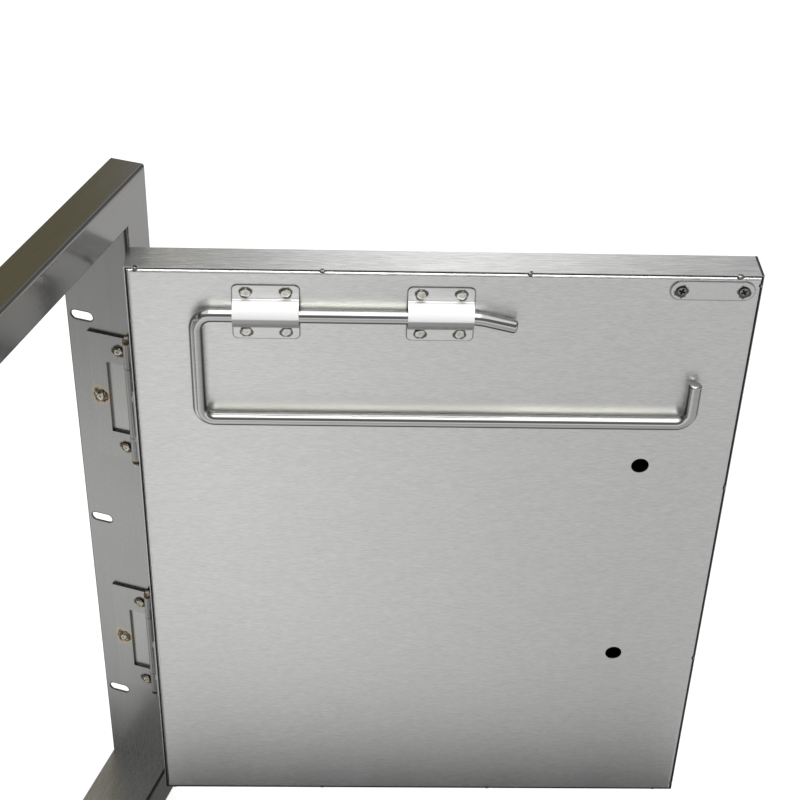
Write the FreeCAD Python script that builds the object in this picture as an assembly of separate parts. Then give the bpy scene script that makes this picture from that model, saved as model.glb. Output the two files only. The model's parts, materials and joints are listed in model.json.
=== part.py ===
import FreeCAD, Part
import math
import os

os.makedirs("parts", exist_ok=True)

# Built-in door and drawer unit of folded stainless sheet for an outdoor kitchen.
# X runs to the right, Y to the back, Z up, in millimetres. The origin is the middle of the
# cut-out's sill, in the plane of the wall that the trim rests on.
# The door stands open at rest, and is built shut and then turned about its hinge pins.

# Frame
frame_width = 838.0
frame_height = 558.0
trim_face = 30.0
trim_depth = 24.0
trim_bend = 1.3
wall_lip = 9.0
sleeve_depth = 50.0
frame_sheet = 1.2
mullion_face = 30.0
slot_width = 7.0
slot_length = 16.0
slot_setback = 39.2
slot_pitch = 174.0
slot_count = 3

# Door and drawer fronts
door_width = 400.0
front_thickness = 26.7
front_recess = 10.5
reveal = 10.0
skin = 1.0
skin_bend = 1.0
liner_bend = 1.5
liner_return = 14.0
liner_gap = 0.25
liner_proud = 1.2
access_radius = 6.0
door_open_angle = 109.0

# Hinges
hinge_length = 102.0
hinge_spread = 226.0
hinge_sheet = 1.3
frame_leaf_sheet = 2.2
leaf_width = 29.5
window_height = 58.0
window_depth = 17.0
pin_radius = 1.6
pin_setback = 6.0
pin_overhang = 3.0
pin_fit = 0.05
knuckle_wall = 1.3
knuckle_gap = 0.4
jamb_gap = 0.3
door_leaf_depth = 18.0
leaf_rivet_gap = 0.5
door_rivet_spread = 34.0

# Fasteners
rivet_head = 3.6
rivet_rise = 1.8
rivet_shank = 2.0
rivet_tail = 2.7
rivet_tail_length = 1.6
hole_fit = 0.05

# Towel rod and its saddle clips
rod_radius = 4.5
rod_gap = 0.7
rod_drop = 30.6
rod_left = 43.3
rod_edge = 34.3
rod_loop = 80.6
rod_bend = 10.0
rod_hook = 32.0
rod_toe_start = 222.0
rod_toe_length = 25.0
rod_toe_angle = 14.0
rod_toe_bend = 45.0
rod_end_round = 1.8
clip_sheet = 1.0
clip_width = 41.8
clip_height = 39.2
clip_corner = 3.0
clip_first = 87.6
clip_second = 197.9
clip_leg = 0.5
clip_clearance = 0.3
clip_rivet_inset = 8.2

# Magnetic catch
strike_length = 52.6
strike_height = 12.5
strike_sheet = 1.5
strike_edge = 31.7
strike_drop = 10.2
strike_pitch = 39.3
strike_head = 3.2
strike_rise = 1.2
catch_gap = 0.4
catch_foot = 54.0
catch_sheet = 1.5
catch_case = 16.0
catch_case_wall = 1.5
catch_case_room = 1.4
catch_pole = 2.0
catch_pole_proud = 0.8
catch_screw_pitch = 40.0

# Handles
handle_radius = 7.0
handle_post = 6.0
handle_pitch = 176.0
handle_over = 30.0
handle_stand_off = 38.0
handle_edge = 61.8
handle_round = 2.0
handle_screw = 2.5
handle_screw_head = 4.5
handle_screw_rise = 3.2
handle_screw_bite = 14.0
drawer_handle_drop = 47.0

# Drawers, cage and slides
tray_height = 145.0
tray_sheet = 1.0
tray_hem = 7.0
tray_lift = 30.0
cage_room = 33.0
cage_margin = 6.0
cage_lap = 14.0
cage_flange = 25.0
cage_rivet_near = 45.0
cage_rivet_step = 25.0
slide_length = 450.0
slide_lift = 60.0
slide_sheet = 1.0
slide_height = 45.0
slide_room = 12.7
slide_gap = 0.5
slide_lip = 4.5
slide_shoulder = 4.3
slide_end_inset = 40.0
slide_rivet_head = 3.0
slide_rivet_rise = 0.9

# Planes worked out from the sizes above
trim_front = -trim_depth
opening_right = frame_width / 2 - trim_face
opening_bottom = frame_sheet
opening_height = frame_height - 2 * trim_face
opening_top = opening_bottom + opening_height
opening_middle = opening_bottom + opening_height / 2
sleeve_back = trim_front + sleeve_depth
mullion_right = opening_right - door_width - 2 * reveal
mullion_left = mullion_right - mullion_face
face_out = trim_front + front_recess
face_in = face_out + front_thickness
door_hinge_edge = opening_right - reveal
door_free_edge = door_hinge_edge - door_width
door_bottom = opening_bottom + reveal
door_top = opening_top - reveal
knuckle_radius = pin_radius + knuckle_wall
pin_x = opening_right - knuckle_radius - jamb_gap
pin_y = trim_front + pin_setback
rod_stand_off = rod_radius + rod_gap
rod_right = door_width - rod_edge
rod_y = face_in + rod_stand_off
rod_z = door_top - rod_drop
tray_length = slide_length
cage_depth = face_in + slide_length + cage_room
cage_left = -opening_right
cage_right = mullion_left
cage_bottom = opening_bottom + cage_margin
cage_top = opening_top - cage_margin
drawer_left = cage_left + reveal
drawer_right = cage_right - reveal
drawer_names = ("upper", "lower")
drawer_count = len(drawer_names)
drawer_height = (opening_height - (drawer_count + 1) * reveal) / drawer_count
strike_x = door_free_edge + strike_edge
strike_z = door_top - strike_drop
catch_length = strike_pitch - 2 * (strike_head + catch_case_room)

X_AXIS = FreeCAD.Vector(1, 0, 0)
Y_AXIS = FreeCAD.Vector(0, 1, 0)
Z_AXIS = FreeCAD.Vector(0, 0, 1)


def point(x, y, z):
    return FreeCAD.Vector(x, y, z)


def block(x0, x1, y0, y1, z0, z1):
    """Box between two corners."""
    return Part.makeBox(x1 - x0, y1 - y0, z1 - z0, point(x0, y0, z0))


def bar(radius, start, end):
    """Round bar between two points."""
    span = end - start
    return Part.makeCylinder(radius, span.Length, start, span)


def edges_in_plane(shape, axis, level):
    """Edges of a shape that lie wholly in the plane where the named coordinate equals level."""
    found = []
    for edge in shape.Edges:
        box = edge.BoundBox
        low = getattr(box, axis + "Min")
        high = getattr(box, axis + "Max")
        if abs(low - level) < 1e-6 and abs(high - level) < 1e-6:
            found.append(edge)
    return found


def edges_along(shape, axis):
    """Straight edges of a shape that run along one axis."""
    others = [name for name in "XYZ" if name != axis]
    found = []
    for edge in shape.Edges:
        box = edge.BoundBox
        if all(getattr(box, name + "Length") < 1e-6 for name in others):
            found.append(edge)
    return found


def bent_sheet(line, thickness, place, run):
    """Sheet folded along a flat line: the line is offset half the thickness each way with mitred
    corners, place turns each flat point into space, and run is the direction and length of the fold."""
    half = thickness / 2
    normals = []
    for (a0, b0), (a1, b1) in zip(line, line[1:]):
        length = math.hypot(a1 - a0, b1 - b0)
        normals.append(((b0 - b1) / length, (a1 - a0) / length))
    sides = ([], [])
    for index, (a, b) in enumerate(line):
        before = normals[max(index - 1, 0)]
        after = normals[min(index, len(normals) - 1)]
        share = half / (1 + before[0] * after[0] + before[1] * after[1])
        step_a = share * (before[0] + after[0])
        step_b = share * (before[1] + after[1])
        sides[0].append(place(a + step_a, b + step_b))
        sides[1].append(place(a - step_a, b - step_b))
    outline = sides[0] + sides[1][::-1]
    face = Part.Face(Part.makePolygon(outline + outline[:1]))
    return face.extrude(run)


def fastener(base, out, head, rise, shank, grip, tail, tail_length):
    """Turned fastener: a domed head on the surface at base, pointing along out, a shank through the
    grip behind it and a set tail."""
    ball = (head * head + rise * rise) / (2 * rise)
    half_turn = math.asin(head / ball) / 2
    middle = point(ball * math.sin(half_turn), 0, rise - ball + ball * math.cos(half_turn))
    crown = Part.Arc(point(0, 0, rise), middle, point(head, 0, 0)).toShape()
    corners = [
        point(head, 0, 0),
        point(shank, 0, 0),
        point(shank, 0, -grip),
        point(tail, 0, -grip),
        point(tail, 0, -grip - tail_length),
        point(0, 0, -grip - tail_length),
        point(0, 0, rise),
    ]
    steps = [(a, b) for a, b in zip(corners, corners[1:]) if (b - a).Length > 1e-6]
    lines = [Part.LineSegment(a, b).toShape() for a, b in steps]
    solid = Part.Face(Part.Wire([crown] + lines)).revolve(point(0, 0, 0), Z_AXIS, 360)
    solid.Placement = FreeCAD.Placement(base, FreeCAD.Rotation(Z_AXIS, out))
    return solid


def rivet(base, out, grip):
    return fastener(base, out, rivet_head, rivet_rise, rivet_shank, grip, rivet_tail, rivet_tail_length)


def drill(shape, radius, start, end):
    return shape.cut(bar(radius, start, end))


def opened(shape):
    """Turn a piece of the shut door about the hinge pins to where it stands at rest."""
    turned = shape.copy()
    turned.rotate(point(pin_x, pin_y, 0), Z_AXIS, door_open_angle)
    return turned


def save(name, *shapes):
    solid = shapes[0] if len(shapes) == 1 else Part.makeCompound(list(shapes))
    solid.exportStep("parts/" + name + ".step")


# Frame

def face_trim():
    """Folded front frame: face, outer returns and a lip on the wall, with a window for the drawers
    and one for the door."""
    half = frame_width / 2
    low = opening_bottom - trim_face
    high = opening_top + trim_face
    shell = block(-half, half, trim_front, 0, low, high)
    s = frame_sheet
    shell = shell.makeFillet(trim_bend + s, edges_in_plane(shell, "Y", trim_front))
    hollow = block(-half + s, half - s, trim_front + s, -s, low + s, high - s)
    hollow = hollow.makeFillet(trim_bend, edges_in_plane(hollow, "Y", trim_front + s))
    mouth = block(-half + wall_lip, half - wall_lip, -trim_depth / 2, s, low + wall_lip, high - wall_lip)
    ring = shell.cut(hollow).cut(mouth)
    behind = trim_front + trim_depth / 2
    drawers = block(-opening_right, mullion_left, trim_front - s, behind, opening_bottom, opening_top)
    door = block(mullion_right, opening_right, trim_front - s, behind, opening_bottom, opening_top)
    ring = ring.cut(drawers).cut(door)
    rims = []
    for edge in edges_in_plane(ring, "Y", trim_front):
        middle = edge.CenterOfMass
        level = abs(middle.z - opening_middle) < opening_height / 2 + s
        if level and abs(middle.x) < opening_right + s:
            rims.append(edge)
    return ring.makeFillet(0.8 * s, rims)


def slot_levels():
    return [opening_middle + (index - (slot_count - 1) / 2) * slot_pitch for index in range(slot_count)]


def slot(x0, x1, z):
    """Slotted screw hole through a jamb, long from front to back."""
    radius = slot_width / 2
    middle = trim_front + slot_setback
    reach = slot_length / 2 - radius
    cutter = block(x0, x1, middle - reach, middle + reach, z - radius, z + radius)
    for y in (middle - reach, middle + reach):
        cutter = cutter.fuse(bar(radius, point(x0, y, z), point(x1, y, z)))
    return cutter


def jamb(side):
    """Upright wall of the sleeve, with a row of slots. side is 1 on the right and -1 on the left."""
    inner = side * opening_right
    outer = side * (opening_right + frame_sheet)
    x0 = min(inner, outer)
    x1 = max(inner, outer)
    wall = block(x0, x1, trim_front + frame_sheet, sleeve_back, 0, opening_top + frame_sheet)
    for z in slot_levels():
        wall = wall.cut(slot(x0, x1, z))
    return wall


def right_jamb():
    wall = jamb(1)
    for y, z in frame_leaf_rivets():
        wall = drill(wall, rivet_shank + hole_fit, point(0, y, z), point(frame_width, y, z))
    return wall


def left_jamb():
    wall = jamb(-1)
    for z in cage_rivet_levels():
        y = cage_rivet_front()
        wall = drill(wall, rivet_shank + hole_fit, point(-frame_width, y, z), point(0, y, z))
    return wall


def level_wall(bottom):
    """Head or sill wall of the sleeve, between the jambs."""
    front = trim_front + frame_sheet
    return block(-opening_right, opening_right, front, sleeve_back, bottom, bottom + frame_sheet)


def head_wall():
    wall = level_wall(opening_top)
    for x in catch_screw_places():
        y = catch_screw_depth()
        wall = drill(wall, rivet_shank + hole_fit, point(x, y, 0), point(x, y, frame_height))
    return wall


def mullion():
    """Upright channel between the drawers and the door, open towards the trim."""
    half = frame_sheet / 2
    front = trim_front + frame_sheet
    back = sleeve_back - half
    line = [
        (mullion_left + half, front),
        (mullion_left + half, back),
        (mullion_right - half, back),
        (mullion_right - half, front),
    ]
    place = lambda x, y: point(x, y, opening_bottom)
    channel = bent_sheet(line, frame_sheet, place, Z_AXIS * opening_height)
    for z in cage_rivet_levels():
        y = cage_rivet_front()
        start = point(mullion_left - half, y, z)
        channel = drill(channel, rivet_shank + hole_fit, start, start + X_AXIS * (mullion_face / 2))
    return channel


# Hinges

def hinge_levels():
    return [opening_middle + hinge_spread / 2, opening_middle - hinge_spread / 2]


def frame_leaf_rivets():
    """Depth and height of the rivets in the frame leaves: one in each arm, clear of the knuckle, and one
    behind the window."""
    front = pin_y + knuckle_radius + leaf_rivet_gap + rivet_head
    spots = []
    for z in hinge_levels():
        arm = (hinge_length + window_height) / 4
        spots.append((front, z + arm))
        spots.append((front, z - arm))
        spots.append((pin_y + (window_depth + leaf_width) / 2, z))
    return spots


def frame_leaf(z):
    """Leaf on the jamb: a plate with a window open to the front, and a knuckle on each arm."""
    half = hinge_length / 2
    wall = opening_right
    leaf = block(wall - frame_leaf_sheet, wall, pin_y, pin_y + leaf_width, z - half, z + half)
    gap = window_height / 2
    window = block(
        wall - frame_leaf_sheet, wall, pin_y, pin_y + window_depth, z - gap, z + gap
    )
    leaf = leaf.cut(window)
    for low, high in ((z - half, z - gap), (z + gap, z + half)):
        leaf = leaf.fuse(bar(knuckle_radius, point(pin_x, pin_y, low), point(pin_x, pin_y, high)))
    leaf = drill(leaf, pin_radius + pin_fit, point(pin_x, pin_y, z - half), point(pin_x, pin_y, z + half))
    for y, level in frame_leaf_rivets():
        leaf = drill(leaf, rivet_shank + hole_fit, point(pin_x, y, level), point(wall, y, level))
    return leaf.removeSplitter()


def hinge_pin(z):
    reach = hinge_length / 2 + pin_overhang
    pin = bar(pin_radius, point(pin_x, pin_y, z - reach), point(pin_x, pin_y, z + reach))
    return pin.makeFillet(pin_radius / 2, edges_in_plane(pin, "Z", z + reach))


def door_leaf_front():
    return (face_out + face_in - door_leaf_depth) / 2


def door_leaf(z):
    """Leaf on the door's edge: a flat plate whose neck bends out to a knuckle in the frame leaf's
    window."""
    half = window_height / 2 - knuckle_gap
    plate = door_hinge_edge + hinge_sheet / 2
    front = door_leaf_front()
    shoulder = pin_x - pin_radius - hinge_sheet / 2
    line = [(plate, front + door_leaf_depth), (plate, front), (shoulder, pin_y)]
    place = lambda x, y: point(x, y, z - half)
    leaf = bent_sheet(line, hinge_sheet, place, Z_AXIS * (2 * half))
    leaf = leaf.fuse(bar(knuckle_radius, point(pin_x, pin_y, z - half), point(pin_x, pin_y, z + half)))
    leaf = drill(leaf, pin_radius + pin_fit, point(pin_x, pin_y, z - half), point(pin_x, pin_y, z + half))
    for spot in door_leaf_rivets(z):
        leaf = drill(leaf, rivet_shank + hole_fit, spot - X_AXIS * hinge_sheet, spot)
    return leaf.removeSplitter()


def door_leaf_rivets(z):
    """Places of the rivets on the outer face of a door leaf's plate."""
    x = door_hinge_edge + hinge_sheet
    y = (face_out + face_in) / 2
    return [point(x, y, z + step * door_rivet_spread / 2) for step in (1, -1)]


# Fronts, which the door and the drawers share

def pan(x0, x1, z0, z1):
    """Outer skin: a shallow box with bent edges, open at the back, where the liner stands out of it."""
    rim = face_in - liner_proud
    shell = block(x0, x1, face_out, rim, z0, z1)
    shell = shell.makeFillet(skin_bend + skin, edges_in_plane(shell, "Y", face_out))
    hollow = block(x0 + skin, x1 - skin, face_out + skin, rim, z0 + skin, z1 - skin)
    hollow = hollow.makeFillet(skin_bend, edges_in_plane(hollow, "Y", face_out + skin))
    return shell.cut(hollow)


def liner(x0, x1, z0, z1):
    """Inner skin: a shallow tray let into the pan, with its rounded edge a little proud."""
    inset = skin + liner_gap
    front = face_in - liner_return
    shell = block(x0 + inset, x1 - inset, front, face_in, z0 + inset, z1 - inset)
    shell = shell.makeFillet(liner_bend + skin, edges_in_plane(shell, "Y", face_in))
    wall = inset + skin
    back = face_in - skin
    hollow = block(x0 + wall, x1 - wall, front, back, z0 + wall, z1 - wall)
    hollow = hollow.makeFillet(liner_bend, edges_in_plane(hollow, "Y", back))
    return shell.cut(hollow)


def screw_through_skin(shape, spots):
    for spot in spots:
        shape = drill(shape, handle_screw + hole_fit, spot, spot + Y_AXIS * (2 * skin))
    return shape


def access_holes(shape, spots):
    """Holes behind the handle screws for a screwdriver."""
    for spot in spots:
        start = point(spot.x, face_in - 2 * skin, spot.z)
        shape = drill(shape, access_radius, start, start + Y_AXIS * (4 * skin + tray_sheet))
    return shape


def handle(spots):
    """Bar handle on two posts, bored for its screws. spots are the screw places on the face."""
    along = spots[1] - spots[0]
    along.normalize()
    out = Y_AXIS * -handle_stand_off
    grip = bar(handle_radius, spots[0] + out - along * handle_over, spots[1] + out + along * handle_over)
    ends = [edge for edge in grip.Edges if edge.Closed]
    grip = grip.makeFillet(handle_round, ends)
    for spot in spots:
        grip = grip.fuse(bar(handle_post, spot, spot + out))
    for spot in spots:
        bore = spot - Y_AXIS * (handle_screw_bite + skin)
        grip = drill(grip, handle_screw + hole_fit, bore, spot)
    return grip.removeSplitter()


def handle_screws(spots):
    """Screws from inside the front into the posts."""
    screws = []
    for spot in spots:
        base = spot + Y_AXIS * skin
        screws.append(fastener(
            base, Y_AXIS, handle_screw_head, handle_screw_rise, handle_screw,
            skin + handle_screw_bite / 2, handle_screw, handle_screw_bite / 2,
        ))
    return screws


# Door

def door_handle_spots():
    x = door_free_edge + handle_edge
    return [point(x, face_out, opening_middle + step * handle_pitch / 2) for step in (-1, 1)]


def door_pan():
    shell = pan(door_free_edge, door_hinge_edge, door_bottom, door_top)
    shell = screw_through_skin(shell, door_handle_spots())
    for z in hinge_levels():
        for spot in door_leaf_rivets(z):
            shell = drill(shell, rivet_shank + hole_fit, spot - X_AXIS * (hinge_sheet + 2 * skin), spot)
    return shell


def door_liner():
    shell = liner(door_free_edge, door_hinge_edge, door_bottom, door_top)
    shell = access_holes(shell, door_handle_spots())
    for spot in clip_rivets() + strike_screw_spots():
        start = point(spot.x, face_in - 2 * skin, spot.z)
        shell = drill(shell, rivet_shank + hole_fit, start, point(spot.x, face_in, spot.z))
    for z in hinge_levels():
        for spot in door_leaf_rivets(z):
            reach = hinge_sheet + 4 * skin + rivet_tail_length
            shell = drill(shell, rivet_tail + hole_fit, spot - X_AXIS * reach, spot)
    return shell


def clip_centres():
    return [door_hinge_edge - clip_first, door_hinge_edge - clip_second]


def clip_crown():
    """Height of the saddle's inside over the liner."""
    return rod_stand_off + rod_radius + clip_clearance


def clip_outer():
    """Outer radius of the saddle's half-round."""
    return clip_crown() - clip_leg


def clip_rivets():
    """Rivet places on the outer face of the saddle clips' flanges."""
    aside = clip_width / 2 - clip_rivet_inset
    rise = (clip_outer() + clip_height / 2) / 2
    y = face_in + clip_sheet
    spots = []
    for x in clip_centres():
        for across in (-aside, aside):
            for up in (-rise, rise):
                spots.append(point(x + across, y, rod_z + up))
    return spots


def rod_clip(x):
    """Sheet clip with a half-round saddle over the rod, riveted through its two flanges."""
    sheet = clip_sheet
    crown = clip_crown()
    leg = sheet + clip_leg
    inner = crown - leg
    outer = clip_outer()
    edge = clip_height / 2

    def spot(y, z):
        return point(x - clip_width / 2, face_in + y, rod_z + z)

    over = Part.Arc(spot(leg, -outer), spot(leg + outer, 0), spot(leg, outer)).toShape()
    under = Part.Arc(spot(leg, inner), spot(crown, 0), spot(leg, -inner)).toShape()
    first = [spot(0, -inner), spot(0, -edge), spot(sheet, -edge), spot(sheet, -outer), spot(leg, -outer)]
    last = [spot(leg, outer), spot(sheet, outer), spot(sheet, edge), spot(0, edge), spot(0, inner)]
    runs = [first, last + [spot(leg, inner)], [spot(leg, -inner), spot(0, -inner)]]
    lines = [Part.makePolygon(run).Edges for run in runs]
    profile = Part.Wire(lines[0] + [over] + lines[1] + [under] + lines[2])
    clip = Part.Face(profile).extrude(X_AXIS * clip_width)
    corners = []
    for side in edges_along(clip, "Y"):
        if abs(abs(side.CenterOfMass.z - rod_z) - edge) < 1e-6:
            corners.append(side)
    clip = clip.makeFillet(clip_corner, corners)
    for hole in clip_rivets():
        clip = drill(clip, rivet_shank + hole_fit, hole - Y_AXIS * sheet, hole)
    return clip


def rounded_path(corners, radii):
    """Wire through corners, with each inner corner rounded by its radius."""
    edges = []
    start = corners[0]
    for before, corner, after, radius in zip(corners, corners[1:], corners[2:], radii):
        way_in = (corner - before).normalize()
        way_out = (after - corner).normalize()
        turn = way_in.getAngle(way_out)
        back = radius * math.tan(turn / 2)
        first = corner - way_in * back
        last = corner + way_out * back
        inward = (way_out - way_in).normalize()
        sag = radius / math.cos(turn / 2) - radius
        edges.append(Part.LineSegment(start, first).toShape())
        edges.append(Part.Arc(first, corner + inward * sag, last).toShape())
        start = last
    edges.append(Part.LineSegment(start, corners[-1]).toShape())
    return Part.Wire(edges)


def towel_rod():
    """Round bar bent into an open loop: a kinked toe past the clips, the bar that turns in them, a
    drop, the bar that carries the roll, and an upturned hook."""
    def spot(from_hinge, below):
        return point(door_hinge_edge - from_hinge, rod_y, rod_z - below)

    toe = math.radians(rod_toe_angle)
    corners = [
        spot(rod_toe_start + rod_toe_length * math.cos(toe), rod_toe_length * math.sin(toe)),
        spot(rod_toe_start, 0),
        spot(rod_left, 0),
        spot(rod_left, rod_loop),
        spot(rod_right, rod_loop),
        spot(rod_right, rod_loop - rod_hook),
    ]
    path = rounded_path(corners, [rod_toe_bend, rod_bend, rod_bend, rod_bend])
    ring = Part.Wire(Part.Circle(corners[0], corners[1] - corners[0], rod_radius).toShape())
    body = path.makePipeShell([ring], True, False)
    tips = []
    for edge in body.Edges:
        middle = edge.CenterOfMass
        if min((middle - corners[0]).Length, (middle - corners[-1]).Length) < rod_radius / 2:
            tips.append(edge)
    return body.makeFillet(rod_end_round, tips)


def strike_screw_spots():
    y = face_in + strike_sheet
    return [point(strike_x + step * strike_pitch / 2, y, strike_z) for step in (-1, 1)]


def strike_plate():
    """Round-ended steel plate that the magnet holds."""
    radius = strike_height / 2
    x = strike_x
    z = strike_z
    reach = strike_length / 2 - radius
    plate = block(x - reach, x + reach, face_in, face_in + strike_sheet, z - radius, z + radius)
    for end in (x - reach, x + reach):
        plate = plate.fuse(bar(radius, point(end, face_in, z), point(end, face_in + strike_sheet, z)))
    for spot in strike_screw_spots():
        plate = drill(plate, rivet_shank + hole_fit, spot - Y_AXIS * strike_sheet, spot)
    return plate.removeSplitter()


# Magnetic catch under the head wall, behind the strike plate of the shut door

def catch_face():
    return face_in + strike_sheet + catch_gap


def catch_back():
    return catch_face() + catch_pole_proud + catch_case


def catch_screw_depth():
    return (catch_face() + min(catch_back(), sleeve_back)) / 2


def catch_screw_places():
    return [strike_x + step * catch_screw_pitch / 2 for step in (-1, 1)]


def catch_bracket():
    """Angle under the head wall that carries the magnet's case."""
    half = catch_sheet / 2
    low = strike_z - strike_height / 2
    back = catch_back() + half
    line = [(catch_face(), opening_top - half), (back, opening_top - half), (back, low)]
    x = strike_x - catch_foot / 2
    bracket = bent_sheet(line, catch_sheet, lambda y, z: point(x, y, z), X_AXIS * catch_foot)
    for place in catch_screw_places():
        spot = point(place, catch_screw_depth(), opening_top)
        bracket = drill(bracket, rivet_shank + hole_fit, spot - Z_AXIS * catch_sheet, spot)
    return bracket


def catch_pocket(inset, front, back):
    """Box in the middle of the catch, inset from the case's outline."""
    x = strike_x
    z = strike_z
    across = catch_length / 2 - inset
    up = strike_height / 2 - inset
    return block(x - across, x + across, front, back, z - up, z + up)


def catch_housing():
    front = catch_face() + catch_pole_proud
    case = catch_pocket(0, front, catch_back())
    return case.cut(catch_pocket(catch_case_wall, front, catch_back() - catch_case_wall))


def catch_magnet():
    front = catch_face() + 2 * catch_pole_proud
    core = catch_pocket(catch_case_wall + catch_pole, front, catch_back() - catch_case_wall)
    return core


def catch_pole_plates():
    """Two steel plates, above and below the magnet, that stand proud and meet the strike plate."""
    whole = catch_pocket(catch_case_wall, catch_face(), catch_back() - catch_case_wall)
    gap = catch_pocket(catch_case_wall + catch_pole, catch_face(), catch_back())
    box = whole.BoundBox
    span = block(box.XMin, box.XMax, box.YMin, box.YMax, gap.BoundBox.ZMin, gap.BoundBox.ZMax)
    return whole.cut(span).Solids


# Drawers

def drawer_floor(index):
    """Lower edge of a drawer front. Index 0 is the upper drawer."""
    return opening_bottom + reveal + (drawer_count - 1 - index) * (drawer_height + reveal)


def drawer_handle_spots(index):
    x = (drawer_left + drawer_right) / 2
    z = drawer_floor(index) + drawer_height - drawer_handle_drop
    return [point(x + step * handle_pitch / 2, face_out, z) for step in (-1, 1)]


def drawer_pan(index):
    low = drawer_floor(index)
    shell = pan(drawer_left, drawer_right, low, low + drawer_height)
    return screw_through_skin(shell, drawer_handle_spots(index))


def drawer_liner(index):
    low = drawer_floor(index)
    shell = liner(drawer_left, drawer_right, low, low + drawer_height)
    return access_holes(shell, drawer_handle_spots(index))


def tray_side(side):
    """Outer face of a tray's side. side is -1 on the left and 1 on the right."""
    if side < 0:
        return cage_left + frame_sheet + slide_room
    return cage_right - frame_sheet - slide_room


def drawer_tray(index):
    """Tray folded from one strip, with a hem turned out along the top of each side."""
    low = drawer_floor(index) + tray_lift
    high = low + tray_height
    s = tray_sheet
    left = tray_side(-1)
    right = tray_side(1)
    line = [
        (left - tray_hem, high - s / 2),
        (left + s / 2, high - s / 2),
        (left + s / 2, low + s / 2),
        (right - s / 2, low + s / 2),
        (right - s / 2, high - s / 2),
        (right + tray_hem, high - s / 2),
    ]
    tray = bent_sheet(line, s, lambda x, z: point(x, face_in, z), Y_AXIS * tray_length)
    for side in (-1, 1):
        for spot in slide_rivets(index, side):
            start = point(tray_side(side), spot.y, spot.z)
            tray = drill(tray, rivet_shank + hole_fit, start, start - X_AXIS * (side * 2 * s))
    return tray


def tray_ends(index):
    """Plates that close a tray at its front and back, welded between the sides and on the floor."""
    s = tray_sheet
    low = drawer_floor(index) + tray_lift
    high = low + tray_height
    left = tray_side(-1) + s
    right = tray_side(1) - s
    fronts = (face_in, face_in + tray_length - s)
    return [block(left, right, y, y + s, low + s, high) for y in fronts]


# Slides

def slide_level(index):
    return drawer_floor(index) + tray_lift + slide_lift


def slide_rivets(index, side):
    """Rivet places on the cage plate under a slide."""
    x = cage_left + frame_sheet if side < 0 else cage_right - frame_sheet
    first = face_in + slide_end_inset
    step = (slide_length - 2 * slide_end_inset) / 2
    return [point(x, first + turn * step, slide_level(index)) for turn in range(3)]


def slide_member(line, index, side):
    """Folded slide member. line gives its section as distance from the cage plate and height."""
    wall = cage_left + frame_sheet if side < 0 else cage_right - frame_sheet
    level = slide_level(index)
    place = lambda out, up: point(wall - side * out, face_in, level + up)
    return bent_sheet(line, slide_sheet, place, Y_AXIS * slide_length)


def mirrored(half_line):
    """Whole section from its upper half, which starts at the web."""
    return [(out, -up) for out, up in half_line[::-1]] + half_line


def outer_rise():
    return (slide_height - slide_sheet) / 2


def middle_rise():
    return outer_rise() - slide_sheet - slide_gap


def outer_reach():
    """Depth at which the outer member's lips end, short of the middle member's lips."""
    return slide_room - 2 * slide_sheet - 2 * slide_gap


def slide_outer(index, side):
    """Member on the cage: a channel with inturned lips."""
    web = slide_sheet / 2
    lip = outer_reach() - slide_sheet / 2
    rise = outer_rise()
    member = slide_member(mirrored([(web, rise), (lip, rise), (lip, rise - slide_lip)]), index, side)
    for spot in slide_rivets(index, side):
        member = drill(member, rivet_shank + hole_fit, spot, spot - X_AXIS * (side * 2 * slide_sheet))
    return member


def middle_neck():
    """Height of the middle member's narrow part, which passes between the outer lips."""
    return outer_rise() - slide_lip - slide_sheet / 2 - slide_gap


def slide_middle(index, side):
    """Floating member: wide behind the outer lips, then narrow and lipped to hold the inner one."""
    web = slide_sheet + slide_rivet_rise + slide_gap + slide_sheet / 2
    shoulder = outer_reach() - slide_sheet - slide_gap - slide_sheet / 2
    lip = slide_room - slide_gap - slide_sheet / 2
    wide = middle_rise()
    neck = middle_neck()
    half = [(web, wide), (shoulder, wide), (shoulder, neck), (lip, neck), (lip, neck - slide_shoulder)]
    return slide_member(mirrored(half), index, side)


def slide_inner(index, side):
    """Member on the tray: a hat section whose brims run behind the middle member's lips."""
    web = slide_room - slide_sheet / 2
    brim = slide_room - slide_gap - slide_sheet - slide_gap - slide_sheet / 2
    edge = middle_neck() - slide_sheet / 2 - slide_gap
    crown = middle_neck() - slide_shoulder - slide_gap - slide_sheet / 2
    member = slide_member(mirrored([(web, crown), (brim, crown), (brim, edge)]), index, side)
    for spot in slide_rivets(index, side):
        start = point(tray_side(side), spot.y, spot.z)
        member = drill(member, rivet_shank + hole_fit, start, start + X_AXIS * (side * 2 * slide_sheet))
    return member


def cabinet_slide_rivets():
    solids = []
    for index in range(drawer_count):
        for side in (-1, 1):
            for spot in slide_rivets(index, side):
                base = spot - X_AXIS * (side * slide_sheet)
                solids.append(fastener(
                    base, X_AXIS * -side, slide_rivet_head, slide_rivet_rise, rivet_shank,
                    slide_sheet + frame_sheet, rivet_tail, frame_sheet,
                ))
    return solids


def tray_screws(index):
    """Screws from inside the inner members into the tray's sides."""
    solids = []
    for side in (-1, 1):
        for spot in slide_rivets(index, side):
            base = point(tray_side(side) + side * slide_sheet, spot.y, spot.z)
            solids.append(fastener(
                base, X_AXIS * side, slide_rivet_head, slide_rivet_rise, rivet_shank,
                slide_sheet + tray_sheet, rivet_tail, tray_sheet,
            ))
    return solids


# Drawer cage

def cage_rivet_front():
    return sleeve_back - cage_lap / 2


def cage_rivet_back():
    return cage_depth - frame_sheet - cage_flange / 2


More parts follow.
